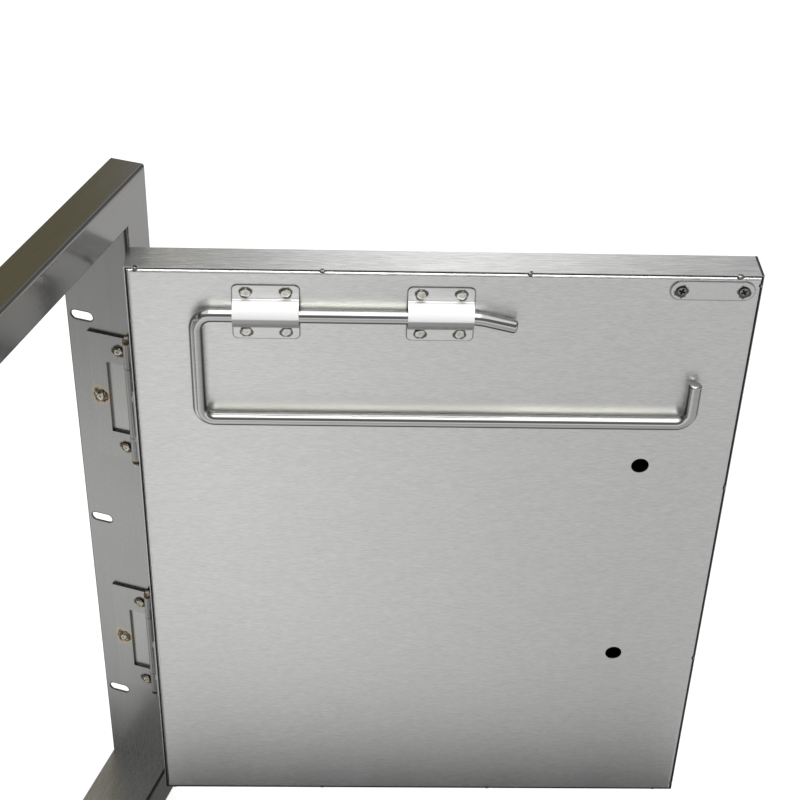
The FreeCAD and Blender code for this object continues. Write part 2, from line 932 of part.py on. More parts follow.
def cage_rivet_levels():
    """Heights of the rivets at the cage's front and back edges, clear of the slides."""
    near = cage_rivet_near
    far = slot_pitch * (slot_count - 1) / 2 + cage_rivet_step
    return [opening_middle + step for step in (-far, -near, near, far)]


def cage_rivet_depths():
    return [cage_rivet_front(), cage_rivet_back()]


def cage_side(side):
    """Side plate that carries the slides, lapped on the sleeve."""
    x0 = cage_left if side < 0 else cage_right - frame_sheet
    front = sleeve_back - cage_lap
    plate = block(x0, x0 + frame_sheet, front, cage_depth - frame_sheet, cage_bottom, cage_top)
    for z in slot_levels():
        plate = plate.cut(slot(x0, x0 + frame_sheet, z))
    for index in range(drawer_count):
        for spot in slide_rivets(index, side):
            plate = drill(plate, rivet_shank + hole_fit, spot, spot + X_AXIS * (side * frame_sheet))
    for y in cage_rivet_depths():
        for z in cage_rivet_levels():
            start = point(x0, y, z)
            plate = drill(plate, rivet_shank + hole_fit, start, start + X_AXIS * frame_sheet)
    return plate


def cage_back():
    """Back plate with a flange outside each side plate."""
    half = frame_sheet / 2
    back = cage_depth - half
    front = cage_depth - frame_sheet - cage_flange
    line = [
        (cage_left - half, front),
        (cage_left - half, back),
        (cage_right + half, back),
        (cage_right + half, front),
    ]
    height = cage_top - cage_bottom
    plate = bent_sheet(line, frame_sheet, lambda x, y: point(x, y, cage_bottom), Z_AXIS * height)
    for x in (cage_left - frame_sheet, cage_right):
        for z in cage_rivet_levels():
            start = point(x, cage_rivet_back(), z)
            plate = drill(plate, rivet_shank + hole_fit, start, start + X_AXIS * frame_sheet)
    return plate


def cage_rivets():
    solids = []
    for side in (-1, 1):
        x = cage_left + frame_sheet if side < 0 else cage_right - frame_sheet
        for y in cage_rivet_depths():
            for z in cage_rivet_levels():
                solids.append(rivet(point(x, y, z), X_AXIS * -side, 2 * frame_sheet))
    return solids


# Build and write every piece

save("face_trim", face_trim())
save("right_jamb", right_jamb())
save("left_jamb", left_jamb())
save("head_wall", head_wall())
save("sill_wall", level_wall(0))
save("mullion", mullion())

for name, height in zip(("upper", "lower"), hinge_levels()):
    save(name + "_hinge_frame_leaf", frame_leaf(height))
    save(name + "_hinge_pin", hinge_pin(height))
    save(name + "_hinge_door_leaf", opened(door_leaf(height)))
frame_rivets = [
    rivet(point(opening_right - frame_leaf_sheet, y, z), -X_AXIS, frame_leaf_sheet + frame_sheet)
    for y, z in frame_leaf_rivets()
]
save("hinge_frame_rivets", *frame_rivets)
edge_rivets = [
    opened(rivet(spot, X_AXIS, hinge_sheet + skin))
    for z in hinge_levels()
    for spot in door_leaf_rivets(z)
]
save("hinge_door_rivets", *edge_rivets)

save("door_pan", opened(door_pan()))
save("door_liner", opened(door_liner()))
for name, x in zip(("hinge_side_rod_clip", "free_side_rod_clip"), clip_centres()):
    save(name, opened(rod_clip(x)))
save("rod_clip_rivets", *[opened(rivet(spot, Y_AXIS, clip_sheet + skin)) for spot in clip_rivets()])
save("towel_rod", opened(towel_rod()))
save("strike_plate", opened(strike_plate()))
strike_screws = [
    opened(fastener(
        spot, Y_AXIS, strike_head, strike_rise, rivet_shank,
        strike_sheet + skin, rivet_tail, rivet_tail_length,
    ))
    for spot in strike_screw_spots()
]
save("strike_screws", *strike_screws)
save("door_handle", opened(handle(door_handle_spots())))
save("door_handle_screws", *[opened(screw) for screw in handle_screws(door_handle_spots())])

save("catch_bracket", catch_bracket())
save("catch_housing", catch_housing())
save("catch_magnet", catch_magnet())
save("catch_pole_plates", *catch_pole_plates())
catch_screws = [
    rivet(point(x, catch_screw_depth(), opening_top - catch_sheet), -Z_AXIS, catch_sheet + frame_sheet)
    for x in catch_screw_places()
]
save("catch_screws", *catch_screws)

save("cage_left_side", cage_side(-1))
save("cage_right_side", cage_side(1))
save("cage_back", cage_back())
save("cage_rivets", *cage_rivets())
save("cabinet_slide_rivets", *cabinet_slide_rivets())

for index, drawer in enumerate(drawer_names):
    save(drawer + "_drawer_pan", drawer_pan(index))
    save(drawer + "_drawer_liner", drawer_liner(index))
    save(drawer + "_drawer_tray", drawer_tray(index))
    save(drawer + "_tray_ends", *tray_ends(index))
    save(drawer + "_drawer_handle", handle(drawer_handle_spots(index)))
    save(drawer + "_drawer_handle_screws", *handle_screws(drawer_handle_spots(index)))
    save(drawer + "_tray_screws", *tray_screws(index))
    for side_name, side in (("left", -1), ("right", 1)):
        save(drawer + "_" + side_name + "_slide_outer", slide_outer(index, side))
        save(drawer + "_" + side_name + "_slide_middle", slide_middle(index, side))
        save(drawer + "_" + side_name + "_slide_inner", slide_inner(index, side))
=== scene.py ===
import json
import math

import bpy
import numpy as np
from bpy.props import FloatProperty, FloatVectorProperty, PointerProperty
from mathutils import Matrix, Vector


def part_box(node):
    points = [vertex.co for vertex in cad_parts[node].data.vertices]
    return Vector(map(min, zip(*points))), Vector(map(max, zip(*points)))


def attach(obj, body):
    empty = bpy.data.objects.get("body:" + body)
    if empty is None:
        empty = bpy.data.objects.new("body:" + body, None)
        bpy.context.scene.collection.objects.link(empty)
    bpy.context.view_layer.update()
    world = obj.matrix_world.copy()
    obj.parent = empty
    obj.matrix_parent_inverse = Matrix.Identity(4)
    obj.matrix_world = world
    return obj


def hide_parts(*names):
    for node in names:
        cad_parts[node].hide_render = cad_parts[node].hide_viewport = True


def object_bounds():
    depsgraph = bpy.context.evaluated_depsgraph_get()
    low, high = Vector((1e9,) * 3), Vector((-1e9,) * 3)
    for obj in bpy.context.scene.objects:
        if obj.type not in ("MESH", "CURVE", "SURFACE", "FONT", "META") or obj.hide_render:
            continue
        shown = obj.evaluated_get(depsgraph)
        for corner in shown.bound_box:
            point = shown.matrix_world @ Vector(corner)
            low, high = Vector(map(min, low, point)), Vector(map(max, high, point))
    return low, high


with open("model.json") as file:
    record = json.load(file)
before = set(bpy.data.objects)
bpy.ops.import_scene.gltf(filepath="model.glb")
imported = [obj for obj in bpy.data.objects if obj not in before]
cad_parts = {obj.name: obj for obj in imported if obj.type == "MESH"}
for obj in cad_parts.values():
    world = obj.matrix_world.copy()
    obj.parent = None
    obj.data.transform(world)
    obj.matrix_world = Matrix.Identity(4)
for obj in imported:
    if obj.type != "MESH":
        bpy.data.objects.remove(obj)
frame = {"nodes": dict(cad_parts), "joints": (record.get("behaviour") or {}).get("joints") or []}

bl_info = {
    "name": "Door and drawer unit",
    "version": (1, 0, 0),
    "blender": (4, 5, 0),
    "location": "3D View > Sidebar > Kitchen unit",
    "description": "Finishes, fittings and studio for a built-in door and drawer unit of folded steel",
    "category": "Object",
}

# The frame as packed: its nodes, its joints and its box.
NODES = frame["nodes"]
JOINTS = {joint["name"]: joint for joint in frame["joints"]}
CAD_BOX = [list(corner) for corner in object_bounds()]
PIN_X, PIN_Y, PIN_Z = JOINTS["door_swing"]["pos_m"]
OPEN_ANGLE = math.radians(-JOINTS["door_swing"]["range_deg"][0])

# Rows of the turn about Z that takes the shut door to where it stands open.
OPEN_TURN = np.array((
    (math.cos(OPEN_ANGLE), -math.sin(OPEN_ANGLE), 0.0),
    (math.sin(OPEN_ANGLE), math.cos(OPEN_ANGLE), 0.0),
    (0.0, 0.0, 1.0)))

# How finely the new pieces are divided, and the half size that leaves an axis out of an outline.
CLIP_COLUMNS = 9
RIVET_COLUMNS = 30
RIVET_HOLE_RINGS = 6
WELD_COLUMNS = 28
WELD_STEPS = np.linspace(0.04, 1.0, 12)
ANY_PLACE = 1.0


# Settings that a user would change

def length(label, about, value):
    """A size in metres."""
    return FloatProperty(
        name=label, description=about, default=value, precision=5, subtype="DISTANCE", unit="LENGTH")


def colour(label, about, value):
    """A plain colour."""
    return FloatVectorProperty(
        name=label, description=about, default=value, size=3, min=0.0, max=1.0, subtype="COLOR")


def share(label, about, value):
    """A number from 0 to 1."""
    return FloatProperty(name=label, description=about, default=value, min=0.0, max=1.0, subtype="FACTOR")


def power(label, about, value):
    """A lamp's power in watts."""
    return FloatProperty(name=label, description=about, default=value, min=0.0, unit="POWER")


class UnitColours(bpy.types.PropertyGroup):
    """Colours of the finishes."""
    trim: colour("Trim", "Brushed steel of the front frame", (0.38, 0.376, 0.365))
    wall: colour("Sleeve", "Satin steel of the jambs, head and sill", (0.415, 0.415, 0.41))
    front: colour("Fronts", "Brushed steel of the door's and the drawers' outer skins", (0.80, 0.80, 0.795))
    liner: colour("Liners", "Fine brushed steel of the inner skins", (0.88, 0.88, 0.87))
    inner: colour("Trays and cage", "Mill finish of the sheet inside", (0.62, 0.62, 0.62))
    hinge: colour("Hinges", "Satin steel of the hinge leaves", (0.43, 0.43, 0.42))
    handle: colour("Handles", "Satin bar of the handles", (0.74, 0.74, 0.73))
    clip: colour("Clip flanges", "Satin sheet of the clips", (0.91, 0.91, 0.90))
    # The saddle colour is a painted highlight, laid on the half-rounds where they face up.
    saddle: colour("Clip saddles", "Bright white skin of the half-rounds over the rod", (0.95, 0.95, 0.945))
    rod: colour("Towel rod", "Polished bar", (0.62, 0.62, 0.615))
    fastener: colour("Fasteners", "Steel of rivets and screws", (0.60, 0.595, 0.57))
    plated: colour("Plated steel", "Zinc plate of the strike plate and pole plates", (0.90, 0.90, 0.89))
    slide: colour("Slides", "Zinc plate of the telescopic slides", (0.66, 0.68, 0.71))
    plastic: colour("Catch case", "Moulded case of the magnetic catch", (0.035, 0.035, 0.037))
    magnet: colour("Magnet", "Sintered magnet in the catch", (0.075, 0.07, 0.07))
    straw: colour("Straw tint", "Light heat tint round welds and rivets", (0.62, 0.50, 0.29))
    brown: colour("Brown tint", "Deep heat tint on welds and rivets", (0.12, 0.075, 0.045))
    # This colour also stands for painted shade: round heads, in recesses, on folds, edges and knuckles, and
    # as shadows round plates and screws.
    soot: colour("Soot", "Dark line in seams, round heads and on cut edges", (0.022, 0.021, 0.020))


class TrimSizes(bpy.types.PropertyGroup):
    """Front frame and the sleeve behind it."""
    face: length("Face", "Flat width of the trim's front", 0.0295)
    mullion: length("Mullion", "Place of the mullion's middle across the unit", -0.046)
    mullion_width: length("Mullion width", "Width of the mullion's front", 0.031)
    seam: length("Seam", "Depth at which the sleeve's walls meet the trim", -0.0214)
    seam_width: length("Seam width", "Width over which the dark seam fades", 0.0016)
    sheet: length("Sheet", "Thickness of the sleeve's walls", 0.0012)


class DoorSizes(bpy.types.PropertyGroup):
    """Where the shut door's edges and faces are."""
    hinge_edge: length("Hinge edge", "Place of the door's hinge edge across the unit", 0.379)
    free_edge: length("Free edge", "Place of the door's free edge across the unit", -0.021)
    top: length("Top edge", "Height of the door's top edge", 0.4892)
    bottom: length("Bottom edge", "Height of the door's bottom edge", 0.0112)
    inner_face: length("Inner face", "Depth of the liner's face", 0.0132)
    rim: length("Rim", "Depth at which the outer skin ends", 0.012)
    outer_face: length("Outer face", "Depth of the outer skin", -0.0135)
    sheet: length("Sheet", "Thickness of both skins", 0.001)
    liner_fold: length("Liner fold", "Distance of the liner's fold from the hinge edge", 0.0023)


class HingeSizes(bpy.types.PropertyGroup):
    """Where the hinges' leaves and rivets are."""
    wall: length("Wall", "Place of the jamb's face across the unit", 0.389)
    spread: length("Spread", "Distance between the middles of both hinges", 0.226)
    reach: length("Reach", "Half the length of a frame leaf", 0.051)
    frame_leaf: length("Frame leaf", "Thickness of a frame leaf", 0.0022)
    door_leaf: length("Door leaf", "Thickness of a door leaf", 0.0013)
    arm_rivet: length("Arm rivet", "Height of an arm's rivet over a hinge's middle", 0.040)
    arm_depth: length("Arm rivet depth", "Distance of an arm's rivet behind the pin", 0.007)
    back_depth: length("Back rivet depth", "Distance of the rivet behind the window from the pin", 0.02325)
    door_rivets: length("Door rivets", "Distance between the two rivets of a door leaf", 0.034)
    leaf_width: length("Leaf width", "Reach of a frame leaf behind the pin", 0.0295)
    window_depth: length("Window depth", "Distance of the window's middle behind the pin", 0.0095)
    window_width: length("Window width", "Size of the window from front to back", 0.017)
    window_height: length("Window height", "Height of the window", 0.058)
    burn: length("Burn ring", "Outer radius of the burnt ring round the rivet behind the window", 0.0046)
    burn_rise: length("Burn rise", "Height of the burnt ring", 0.0005)


class SlotSizes(bpy.types.PropertyGroup):
    """Screw slots in the jambs."""
    width: length("Width", "Width of a slot", 0.007)
    length: length("Length", "Length of a slot, from front to back", 0.016)
    depth: length("Depth", "Place of the slots' middle behind the wall plane", 0.0152)
    pitch: length("Pitch", "Distance between neighbouring slots", 0.174)


class RodSizes(bpy.types.PropertyGroup):
    """Towel rod, measured from the door's edges."""
    radius: length("Radius", "Radius of the bar", 0.0045)
    stand_off: length("Stand-off", "Distance of the bar's middle from the liner", 0.0052)
    drop: length("Drop", "Distance of the turning bar below the door's top", 0.0306)
    near: length("Near end", "Distance of the drop from the hinge edge", 0.0433)
    far: length("Far end", "Distance of the hook from the free edge", 0.0343)
    loop: length("Loop", "Distance between the two level bars", 0.0806)
    hook: length("Hook", "Rise of the upturned end", 0.032)
    toe_start: length("Toe start", "Where the bar kinks past the clips, from the hinge edge", 0.222)
    toe_length: length("Toe length", "Length of the kinked end", 0.025)
    toe_angle: FloatProperty(
        name="Toe angle", description="How far the kinked end points down",
        default=math.radians(14.0), subtype="ANGLE", unit="ROTATION")
    bend: length("Bend", "Radius of the loop's corners", 0.010)
    toe_bend: length("Toe bend", "Radius of the kink", 0.045)
    end_round: length("End round", "Rounding of both ends", 0.0018)


class ClipSizes(bpy.types.PropertyGroup):
    """Saddle clips over the towel rod."""
    sheet: length("Sheet", "Thickness of the clip", 0.001)
    width: length("Width", "Size along the rod", 0.0418)
    height: length("Height", "Size across the rod", 0.0392)
    corner: length("Corner", "Rounding of the flanges' corners", 0.003)
    first: length("First clip", "Middle of the clip near the hinges, from the hinge edge", 0.0876)
    second: length("Second clip", "Middle of the other clip, from the hinge edge", 0.1979)
    saddle: length("Saddle", "Outer radius of the half-round", 0.0095)
    leg: length("Leg", "Height of the half-round's middle over the liner", 0.0015)
    rivet_inset: length("Rivet inset", "Distance of the rivets from the clip's sides", 0.0082)


class StrikeSizes(bpy.types.PropertyGroup):
    """Strike plate and foot of the magnetic catch."""
    length: length("Length", "Length of the plate", 0.0526)
    height: length("Height", "Height of the plate", 0.0125)
    sheet: length("Sheet", "Thickness of the plate", 0.0015)
    edge: length("From the edge", "Distance of the plate's middle from the free edge", 0.0317)
    drop: length("Drop", "Distance of the plate's middle below the door's top", 0.0102)
    pitch: length("Pitch", "Distance between its screws", 0.0393)
    screw_grip: length("Screw grip", "Length of its screws under the head", 0.0041)
    room: length("Room", "Gap between the plate of the shut door and the catch", 0.0004)
    foot_height: length("Foot height", "Height of the catch foot's lower face", 0.4977)
    foot_pitch: length("Foot pitch", "Distance between the foot's screws", 0.04)
    foot_grip: length("Foot grip", "Length of the foot's screws under the head", 0.0043)


class FastenerSizes(bpy.types.PropertyGroup):
    """Rivets, screws and welds."""
    head: length("Rivet head", "Radius of a rivet's head", 0.0036)
    rise: length("Rivet rise", "Height of a rivet's head", 0.0018)
    shank: length("Shank", "Radius of a rivet's shank", 0.002)
    tail: length("Tail", "Radius of a rivet's set tail", 0.0027)
    tail_length: length("Tail length", "Height of a rivet's set tail", 0.0016)
    cage_grip: length("Cage grip", "Thickness of sheet that a rivet of the cage holds", 0.0024)
    cage_inner: length("Inner cage rivets", "Height of the cage's inner rivets from the unit's middle", 0.045)
    cage_outer: length("Outer cage rivets", "Height of the cage's outer rivets from the unit's middle", 0.199)
    screw_head: length("Screw head", "Radius of a strike plate screw", 0.0032)
    screw_rise: length("Screw rise", "Height of a strike plate screw", 0.0012)
    tack: length("Tack", "Radius of a weld tack on the door's seams", 0.0019)
    tack_rise: length("Tack rise", "Height of a weld tack", 0.0011)
    bead: length("Bead", "Outer radius of the weld round a hinge pin", 0.00275)
    bead_inside: length("Bead inside", "Inner radius of the weld round a hinge pin", 0.00162)
    bead_rise: length("Bead rise", "Height of the weld round a hinge pin", 0.0016)


class StudioSettings(bpy.types.PropertyGroup):
    """Floor, walls, lamps and camera."""
    floor: colour("Floor", "Pale floor", (0.36, 0.36, 0.36))
    floor_lift: share("Floor lift", "Share of white that the floor shows the camera by itself", 0.80)
    sky: share("Sky", "Strength of the soft light from all round", 0.55)
    top_power: power("Top lamp", "Power of the soft lamp above the door", 24.0)
    fill_power: power("Fill lamp", "Power of the wider lamp above, which steel doesn't mirror", 20.0)
    front_power: power("Front lamp", "Power of the soft lamp in front, which steel doesn't mirror", 9.0)
    lens: FloatProperty(
        name="Lens", description="Focal length of the camera", default=74.566, min=1.0, unit="CAMERA")
    front_tone: share("Front wall", "Brightness in the steel of the wall behind the camera", 0.15)
    back_tone: share("Back wall", "Brightness in the steel of the wall behind the unit", 0.50)
    floor_tone: share("Floor tone", "Brightness in the steel of the floor in front", 0.655)
    foot_tone: share("Foot tone", "Brightness in the steel of the floor at the door's foot", 0.07)
    side_tone: share("Side tone", "Brightness in the steel of the floor beside the open door", 0.46)
    behind_tone: share("Behind tone", "Brightness in the steel of the floor behind the open door", 0.165)
    dark: colour("Dark flag", "Colour in the steel of the flag at the back", (0.215, 0.195, 0.122))


# Shapes

def to_rest(points):
    """Points of the shut door, turned about the hinge pin by the angle at which it stands open."""
    centre = np.array((PIN_X, PIN_Y, 0.0))
    return (np.asarray(points, float) - centre) @ OPEN_TURN.T + centre


def turned(way):
    """A direction of the shut door, turned with it."""
    return to_rest(way) - to_rest((0.0, 0.0, 0.0))


def ring_faces(rings, columns):
    """Quads between neighbouring rings, each ring closed on itself, and a fan of triangles from each end
    ring to one middle point, stored after the rings."""
    i, j = np.meshgrid(np.arange(rings - 1), np.arange(columns), indexing="ij")
    k = (j + 1) % columns
    quads = np.stack((i * columns + j, i * columns + k, (i + 1) * columns + k, (i + 1) * columns + j), -1)
    line = np.arange(columns)
    after = (line + 1) % columns
    last = (rings - 1) * columns
    first_middle = np.full(columns, rings * columns)
    first_cap = np.stack((first_middle, after, line), -1)
    last_cap = np.stack((first_middle + 1, last + line, last + after), -1)
    return quads.reshape(-1, 4), np.concatenate((first_cap, last_cap))


def closed_rings(rings):
    """Points, quads and triangles of the closed skin over an array of rings, facing outwards: the sign of
    the enclosed volume tells which way round the faces go."""
    count, columns = rings.shape[:2]
    middles = rings[[0, -1]].mean(axis=1)
    points = np.concatenate((rings.reshape(-1, 3), middles))
    quads, caps = ring_faces(count, columns)
    triangles = np.concatenate((quads[:, [0, 1, 2]], quads[:, [0, 2, 3]], caps))
    corner = points[triangles] - points.mean(axis=0)
    volume = np.einsum("ij,ij->i", corner[:, 0], np.cross(corner[:, 1], corner[:, 2])).sum()
    if volume < 0:
        quads = quads[:, ::-1]
        caps = caps[:, ::-1]
    return points, quads, caps


def copies(shape, bases, outs, turns=None):
    """One closed shape, made about its own Z axis, set at each base with Z along out and turned about it:
    point = base + x * side + y * (out x side) + z * out."""
    points, quads, caps = shape
    outs = np.asarray(outs, float)
    outs = outs / np.linalg.norm(outs, axis=1, keepdims=True)
    helper = np.where(np.abs(outs[:, 2:]) > 0.9, (1.0, 0.0, 0.0), (0.0, 0.0, 1.0))
    side = np.cross(helper, outs)
    side = side / np.linalg.norm(side, axis=1, keepdims=True)
    other = np.cross(outs, side)
    turns = np.zeros(len(outs)) if turns is None else np.asarray(turns)
    c = np.cos(turns)[:, None]
    s = np.sin(turns)[:, None]
    x_way = c * side + s * other
    y_way = c * other - s * side
    ways = np.stack((x_way, y_way, outs), 1)
    placed = np.einsum("pk,nkd->npd", points, ways) + np.asarray(bases, float)[:, None, :]
    step = (np.arange(len(outs)) * len(points))[:, None, None]
    return placed.reshape(-1, 3), (quads + step).reshape(-1, 4), (caps + step).reshape(-1, 3)


def together(*shapes):
    """Several closed shapes as one set of points, quads and triangles."""
    starts = np.cumsum([0] + [len(shape[0]) for shape in shapes])
    points = np.concatenate([shape[0] for shape in shapes])
    quads = np.concatenate([shape[1] + start for shape, start in zip(shapes, starts)])
    caps = np.concatenate([shape[2] + start for shape, start in zip(shapes, starts)])
    return points, quads, caps


def add_piece(name, shape, material, body, stands_for=(), sharp=40.0, soot=None):
    """Mesh object at the origin, smooth up to an angle, that rides on a body. Soot on welds and painted
    shade on rivets and screws come as a value for each point."""
    points, quads, caps = shape
    mesh = bpy.data.meshes.new(name)
    mesh.from_pydata(points.tolist(), [], quads.tolist() + caps.tolist())
    mesh.validate()
    mesh.shade_smooth()
    mesh.set_sharp_from_angle(angle=math.radians(sharp))
    mesh.materials.append(material)
    if soot is not None:
        mark = mesh.attributes.new("soot", "FLOAT", "POINT")
        mark.data.foreach_set("value", np.asarray(soot, np.float32))
    piece = bpy.data.objects.new(name, mesh)
    bpy.context.scene.collection.objects.link(piece)
    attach(piece, body)
    if stands_for:
        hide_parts(*stands_for)
    return piece


def turned_shape(radii, heights, columns=32, wobble=0.0, phase=0.0):
    """Surface of revolution: a profile of radii and heights carried round the Z axis. Wobble makes the
    radius swell and shrink two, three and five times a turn."""
    angle = np.linspace(0.0, 2 * np.pi, columns, endpoint=False)
    swell = np.sin(2 * angle + phase) + 0.6 * np.sin(3 * angle + 2.1 * phase)
    swell = swell + 0.5 * np.sin(5 * angle + 0.7 * phase)
    radius = np.asarray(radii)[:, None] * (1 + wobble * swell)
    height = np.broadcast_to(np.asarray(heights)[:, None], radius.shape)
    rings = np.stack((radius * np.cos(angle), radius * np.sin(angle), height), -1)
    return closed_rings(rings)


def bent_line(corners, radii, steps=14):
    """Points and directions along straight runs whose corners are rounded by arcs: each arc starts and
    ends radius * tan(half the turn) from its corner."""
    corners = np.asarray(corners, float)
    runs = np.diff(corners, axis=0)
    ways = runs / np.linalg.norm(runs, axis=1, keepdims=True)
    share_of_arc = np.linspace(0.0, 1.0, steps)[:, None]
    points = [corners[:1]]
    directions = [ways[:1]]
    for corner, before, after, radius in zip(corners[1:-1], ways, ways[1:], radii):
        turn = math.acos(float(np.clip(before @ after, -1.0, 1.0)))
        start = corner - before * radius * math.tan(turn / 2)
        inward = after - before * (before @ after)
        inward = inward / np.linalg.norm(inward)
        angle = share_of_arc * turn
        points.append(start + radius * (np.sin(angle) * before + (1 - np.cos(angle)) * inward))
        directions.append(np.cos(angle) * before + np.sin(angle) * inward)
    points.append(corners[-1:])
    directions.append(ways[-1:])
    return np.concatenate(points), np.concatenate(directions)


def round_bar(points, directions, across, radius, end_round, columns=48):
    """Round bar along a flat line: each ring is middle + radius * (cos a * side + sin a * across), where
    across is square to the line's plane. Both ends are rounded by a quarter circle."""
    end_rings = 7
    rise = np.linspace(np.pi / 2, 0.0, end_rings)
    inset = end_round * (1 - np.sin(rise))
    narrow = radius - end_round * (1 - np.cos(rise))
    middles = np.concatenate((
        points[0] + inset[:, None] * directions[0],
        points[1:-1],
        points[-1] - inset[::-1, None] * directions[-1],
    ))
    ways = np.concatenate((
        np.repeat(directions[:1], end_rings, axis=0),
        directions[1:-1],
        np.repeat(directions[-1:], end_rings, axis=0),
    ))
    radii = np.concatenate((narrow, np.full(len(points) - 2, radius), narrow[::-1]))
    side = np.cross(ways, across)
    angle = np.linspace(0.0, 2 * np.pi, columns, endpoint=False)[None, :, None]
    rings = middles[:, None] + radii[:, None, None] * (
        np.cos(angle) * side[:, None] + np.sin(angle) * across)
    return closed_rings(rings)


def saddle_section(clip, steps=40):
    """Outer line of a saddle clip as rise off the liner and place across the rod: a flange, a small bend,
    the half-round about the rod, and the same again. The normals point outwards."""
    edge = clip.height / 2
    bend = 0.0009
    foot = clip.saddle + bend
    low = np.linspace(-edge, -foot, 12)
    flange_rise = np.full(len(low), clip.sheet)
    turn = np.linspace(0.0, np.pi / 2, 7)[1:]
    fillet_across = -foot + bend * np.sin(turn)
    fillet_rise = clip.sheet + bend * (1 - np.cos(turn))
    over = np.linspace(-np.pi / 2, np.pi / 2, steps)[1:-1]
    arc_across = clip.saddle * np.sin(over)
    arc_rise = np.maximum(clip.leg + clip.saddle * np.cos(over), fillet_rise[-1])
    across = np.concatenate((low, fillet_across, arc_across, -fillet_across[::-1], -low[::-1]))
    rise = np.concatenate((flange_rise, fillet_rise, arc_rise, fillet_rise[::-1], flange_rise))
    along = np.gradient(np.stack((rise, across), -1), axis=0)
    normal = np.stack((along[:, 1], -along[:, 0]), -1)
    normal = normal / np.linalg.norm(normal, axis=1, keepdims=True)
    return np.stack((rise, across), -1), normal


def saddle_clip(clip, x, y, z):
    """Sheet clip: the section is carried along the rod, as wide as the rounded corners let it be at each
    place, once on its outer face and once a sheet's thickness further in."""
    outer, normal = saddle_section(clip)
    inner = outer - clip.sheet * normal
    inner[:, 0] = np.maximum(inner[:, 0], 0.0)
    from_end = clip.height / 2 - np.abs(outer[:, 1])
    short = np.clip(clip.corner - from_end, 0.0, clip.corner)
    half = clip.width / 2 - clip.corner + np.sqrt(clip.corner ** 2 - short ** 2)
    t = np.linspace(-1.0, 1.0, CLIP_COLUMNS)
    over = np.stack(np.broadcast_arrays(half[:, None] * t, outer[:, :1], outer[:, 1:]), -1)
    under = np.stack(np.broadcast_arrays(half[:, None] * -t, inner[:, :1], inner[:, 1:]), -1)
    return closed_rings(np.concatenate((over, under), axis=1) + (x, y, z))


def rivet_shape(sizes, grip, phase, hole=1.0, wobble=0.02, flat=1.0):
    """Blind rivet: a dome with a stub of its mandrel in a hole in the middle, a shank through the grip and
    a set tail, all turned about one axis. Hole is how deep the middle is, wobble how far out of round, and
    flat the share of the full rise."""
    head = np.array((0.05, 0.19, 0.225, 0.25, 0.29, 0.35, 0.45, 0.6, 0.74, 0.86, 0.94, 0.985, 1.0, 1.0))
    dome = np.array((0.62, 0.58, 0.34, 0.34, 0.86, 0.97, 1.0, 0.965, 0.86, 0.68, 0.46, 0.26, 0.14, 0.0))
    dome[:RIVET_HOLE_RINGS] = 1 - hole * (1 - dome[:RIVET_HOLE_RINGS])
    tail = np.array((1.0, 1.0, 0.8, 0.3)) * sizes.tail
    drop = grip + np.array((0.0, 0.7, 1.0, 1.0)) * sizes.tail_length
    radii = np.concatenate((head * sizes.head / (1 + wobble), (sizes.shank, sizes.shank), tail))
    heights = np.concatenate((dome * sizes.rise * flat, (0.0, -grip), -drop))
    return turned_shape(radii, heights, RIVET_COLUMNS, wobble, phase)


def rivet_painted_shade(count, hole=1.0):
    """Painted shade on a row of rivets: in the mandrel's hole and round the rim of each head."""
    head = np.array((0.3, 0.6, 1.0, 1.0, 0.6, 0.15, 0.0, 0.0, 0.0, 0.15, 0.7, 1.0, 1.0, 1.0))
    head[:RIVET_HOLE_RINGS] = hole * head[:RIVET_HOLE_RINGS]
    shank_and_tail = np.zeros(6)
    rings = np.concatenate((head, shank_and_tail))
    return np.tile(np.concatenate((np.repeat(rings, RIVET_COLUMNS), (0.3 * hole, 0.0))), count)


def cross_recess(x, y):
    """Cross of two bars that fade at their sides and ends, for a head of radius 1."""

    def bar(a, b):
        return np.clip((0.17 - np.abs(a)) / 0.05 + 0.5, 0, 1) * np.clip((0.66 - np.abs(b)) / 0.08 + 0.5, 0, 1)

    return np.maximum(bar(x, y), bar(y, x))


def screw_shape(head, rise, shank, grip, columns=64):
    """Pan head with a cross recess: height = rise * (1 - 0.45 r^4) less the recess, then a shank through
    the grip. Returns the shape and its painted shade, which lies in the recess and round the rim."""
    r = np.concatenate((np.linspace(0.02, 0.97, 26), (1.0,)))
    angle = np.linspace(0.0, 2 * np.pi, columns, endpoint=False)
    x = r[:, None] * np.cos(angle)
    y = r[:, None] * np.sin(angle)
    cross = cross_recess(x, y)
    height = rise * ((1 - 0.45 * r[:, None] ** 4) - 0.92 * cross)
    top = np.stack((head * x, head * y, height), -1)
    radii = np.array((1.0, shank / head, shank / head, 0.3 * shank / head))[:, None] * head
    below = np.broadcast_to(np.array((0.0, 0.0, -grip, -grip))[:, None], (4, columns))
    under = np.stack((radii * np.cos(angle), radii * np.sin(angle), below), -1)
    rim = np.clip((r[:, None] - 0.8) / 0.15, 0, 1)
    soot = np.concatenate((np.maximum(cross, rim).ravel(), np.ones(4 * columns + 2)))
    return closed_rings(np.concatenate((top, under))), soot


def weld_shape(radius, rise, phase):
    """Weld tack: a low dome, height = rise * sqrt(1 - r^2) with ripples across it, on an outline that is
    out of round."""
    r = WELD_STEPS[:, None]
    angle = np.linspace(0.0, 2 * np.pi, WELD_COLUMNS, endpoint=False)
    out = 1 + 0.16 * np.sin(2 * angle + phase) + 0.10 * np.sin(3 * angle - 1.7 * phase)
    ripple = 1 + 0.12 * np.sin(9.0 * r * np.cos(angle) + phase)
    height = rise * np.sqrt(np.maximum(1 - r ** 2, 0.0)) * ripple
    dome = np.stack((radius * r * out * np.cos(angle), radius * r * out * np.sin(angle), height), -1)
    base = dome[-1:] * (0.9, 0.9, 1.0) - (0.0, 0.0, 0.4 * rise)
    return closed_rings(np.concatenate((dome, base)))


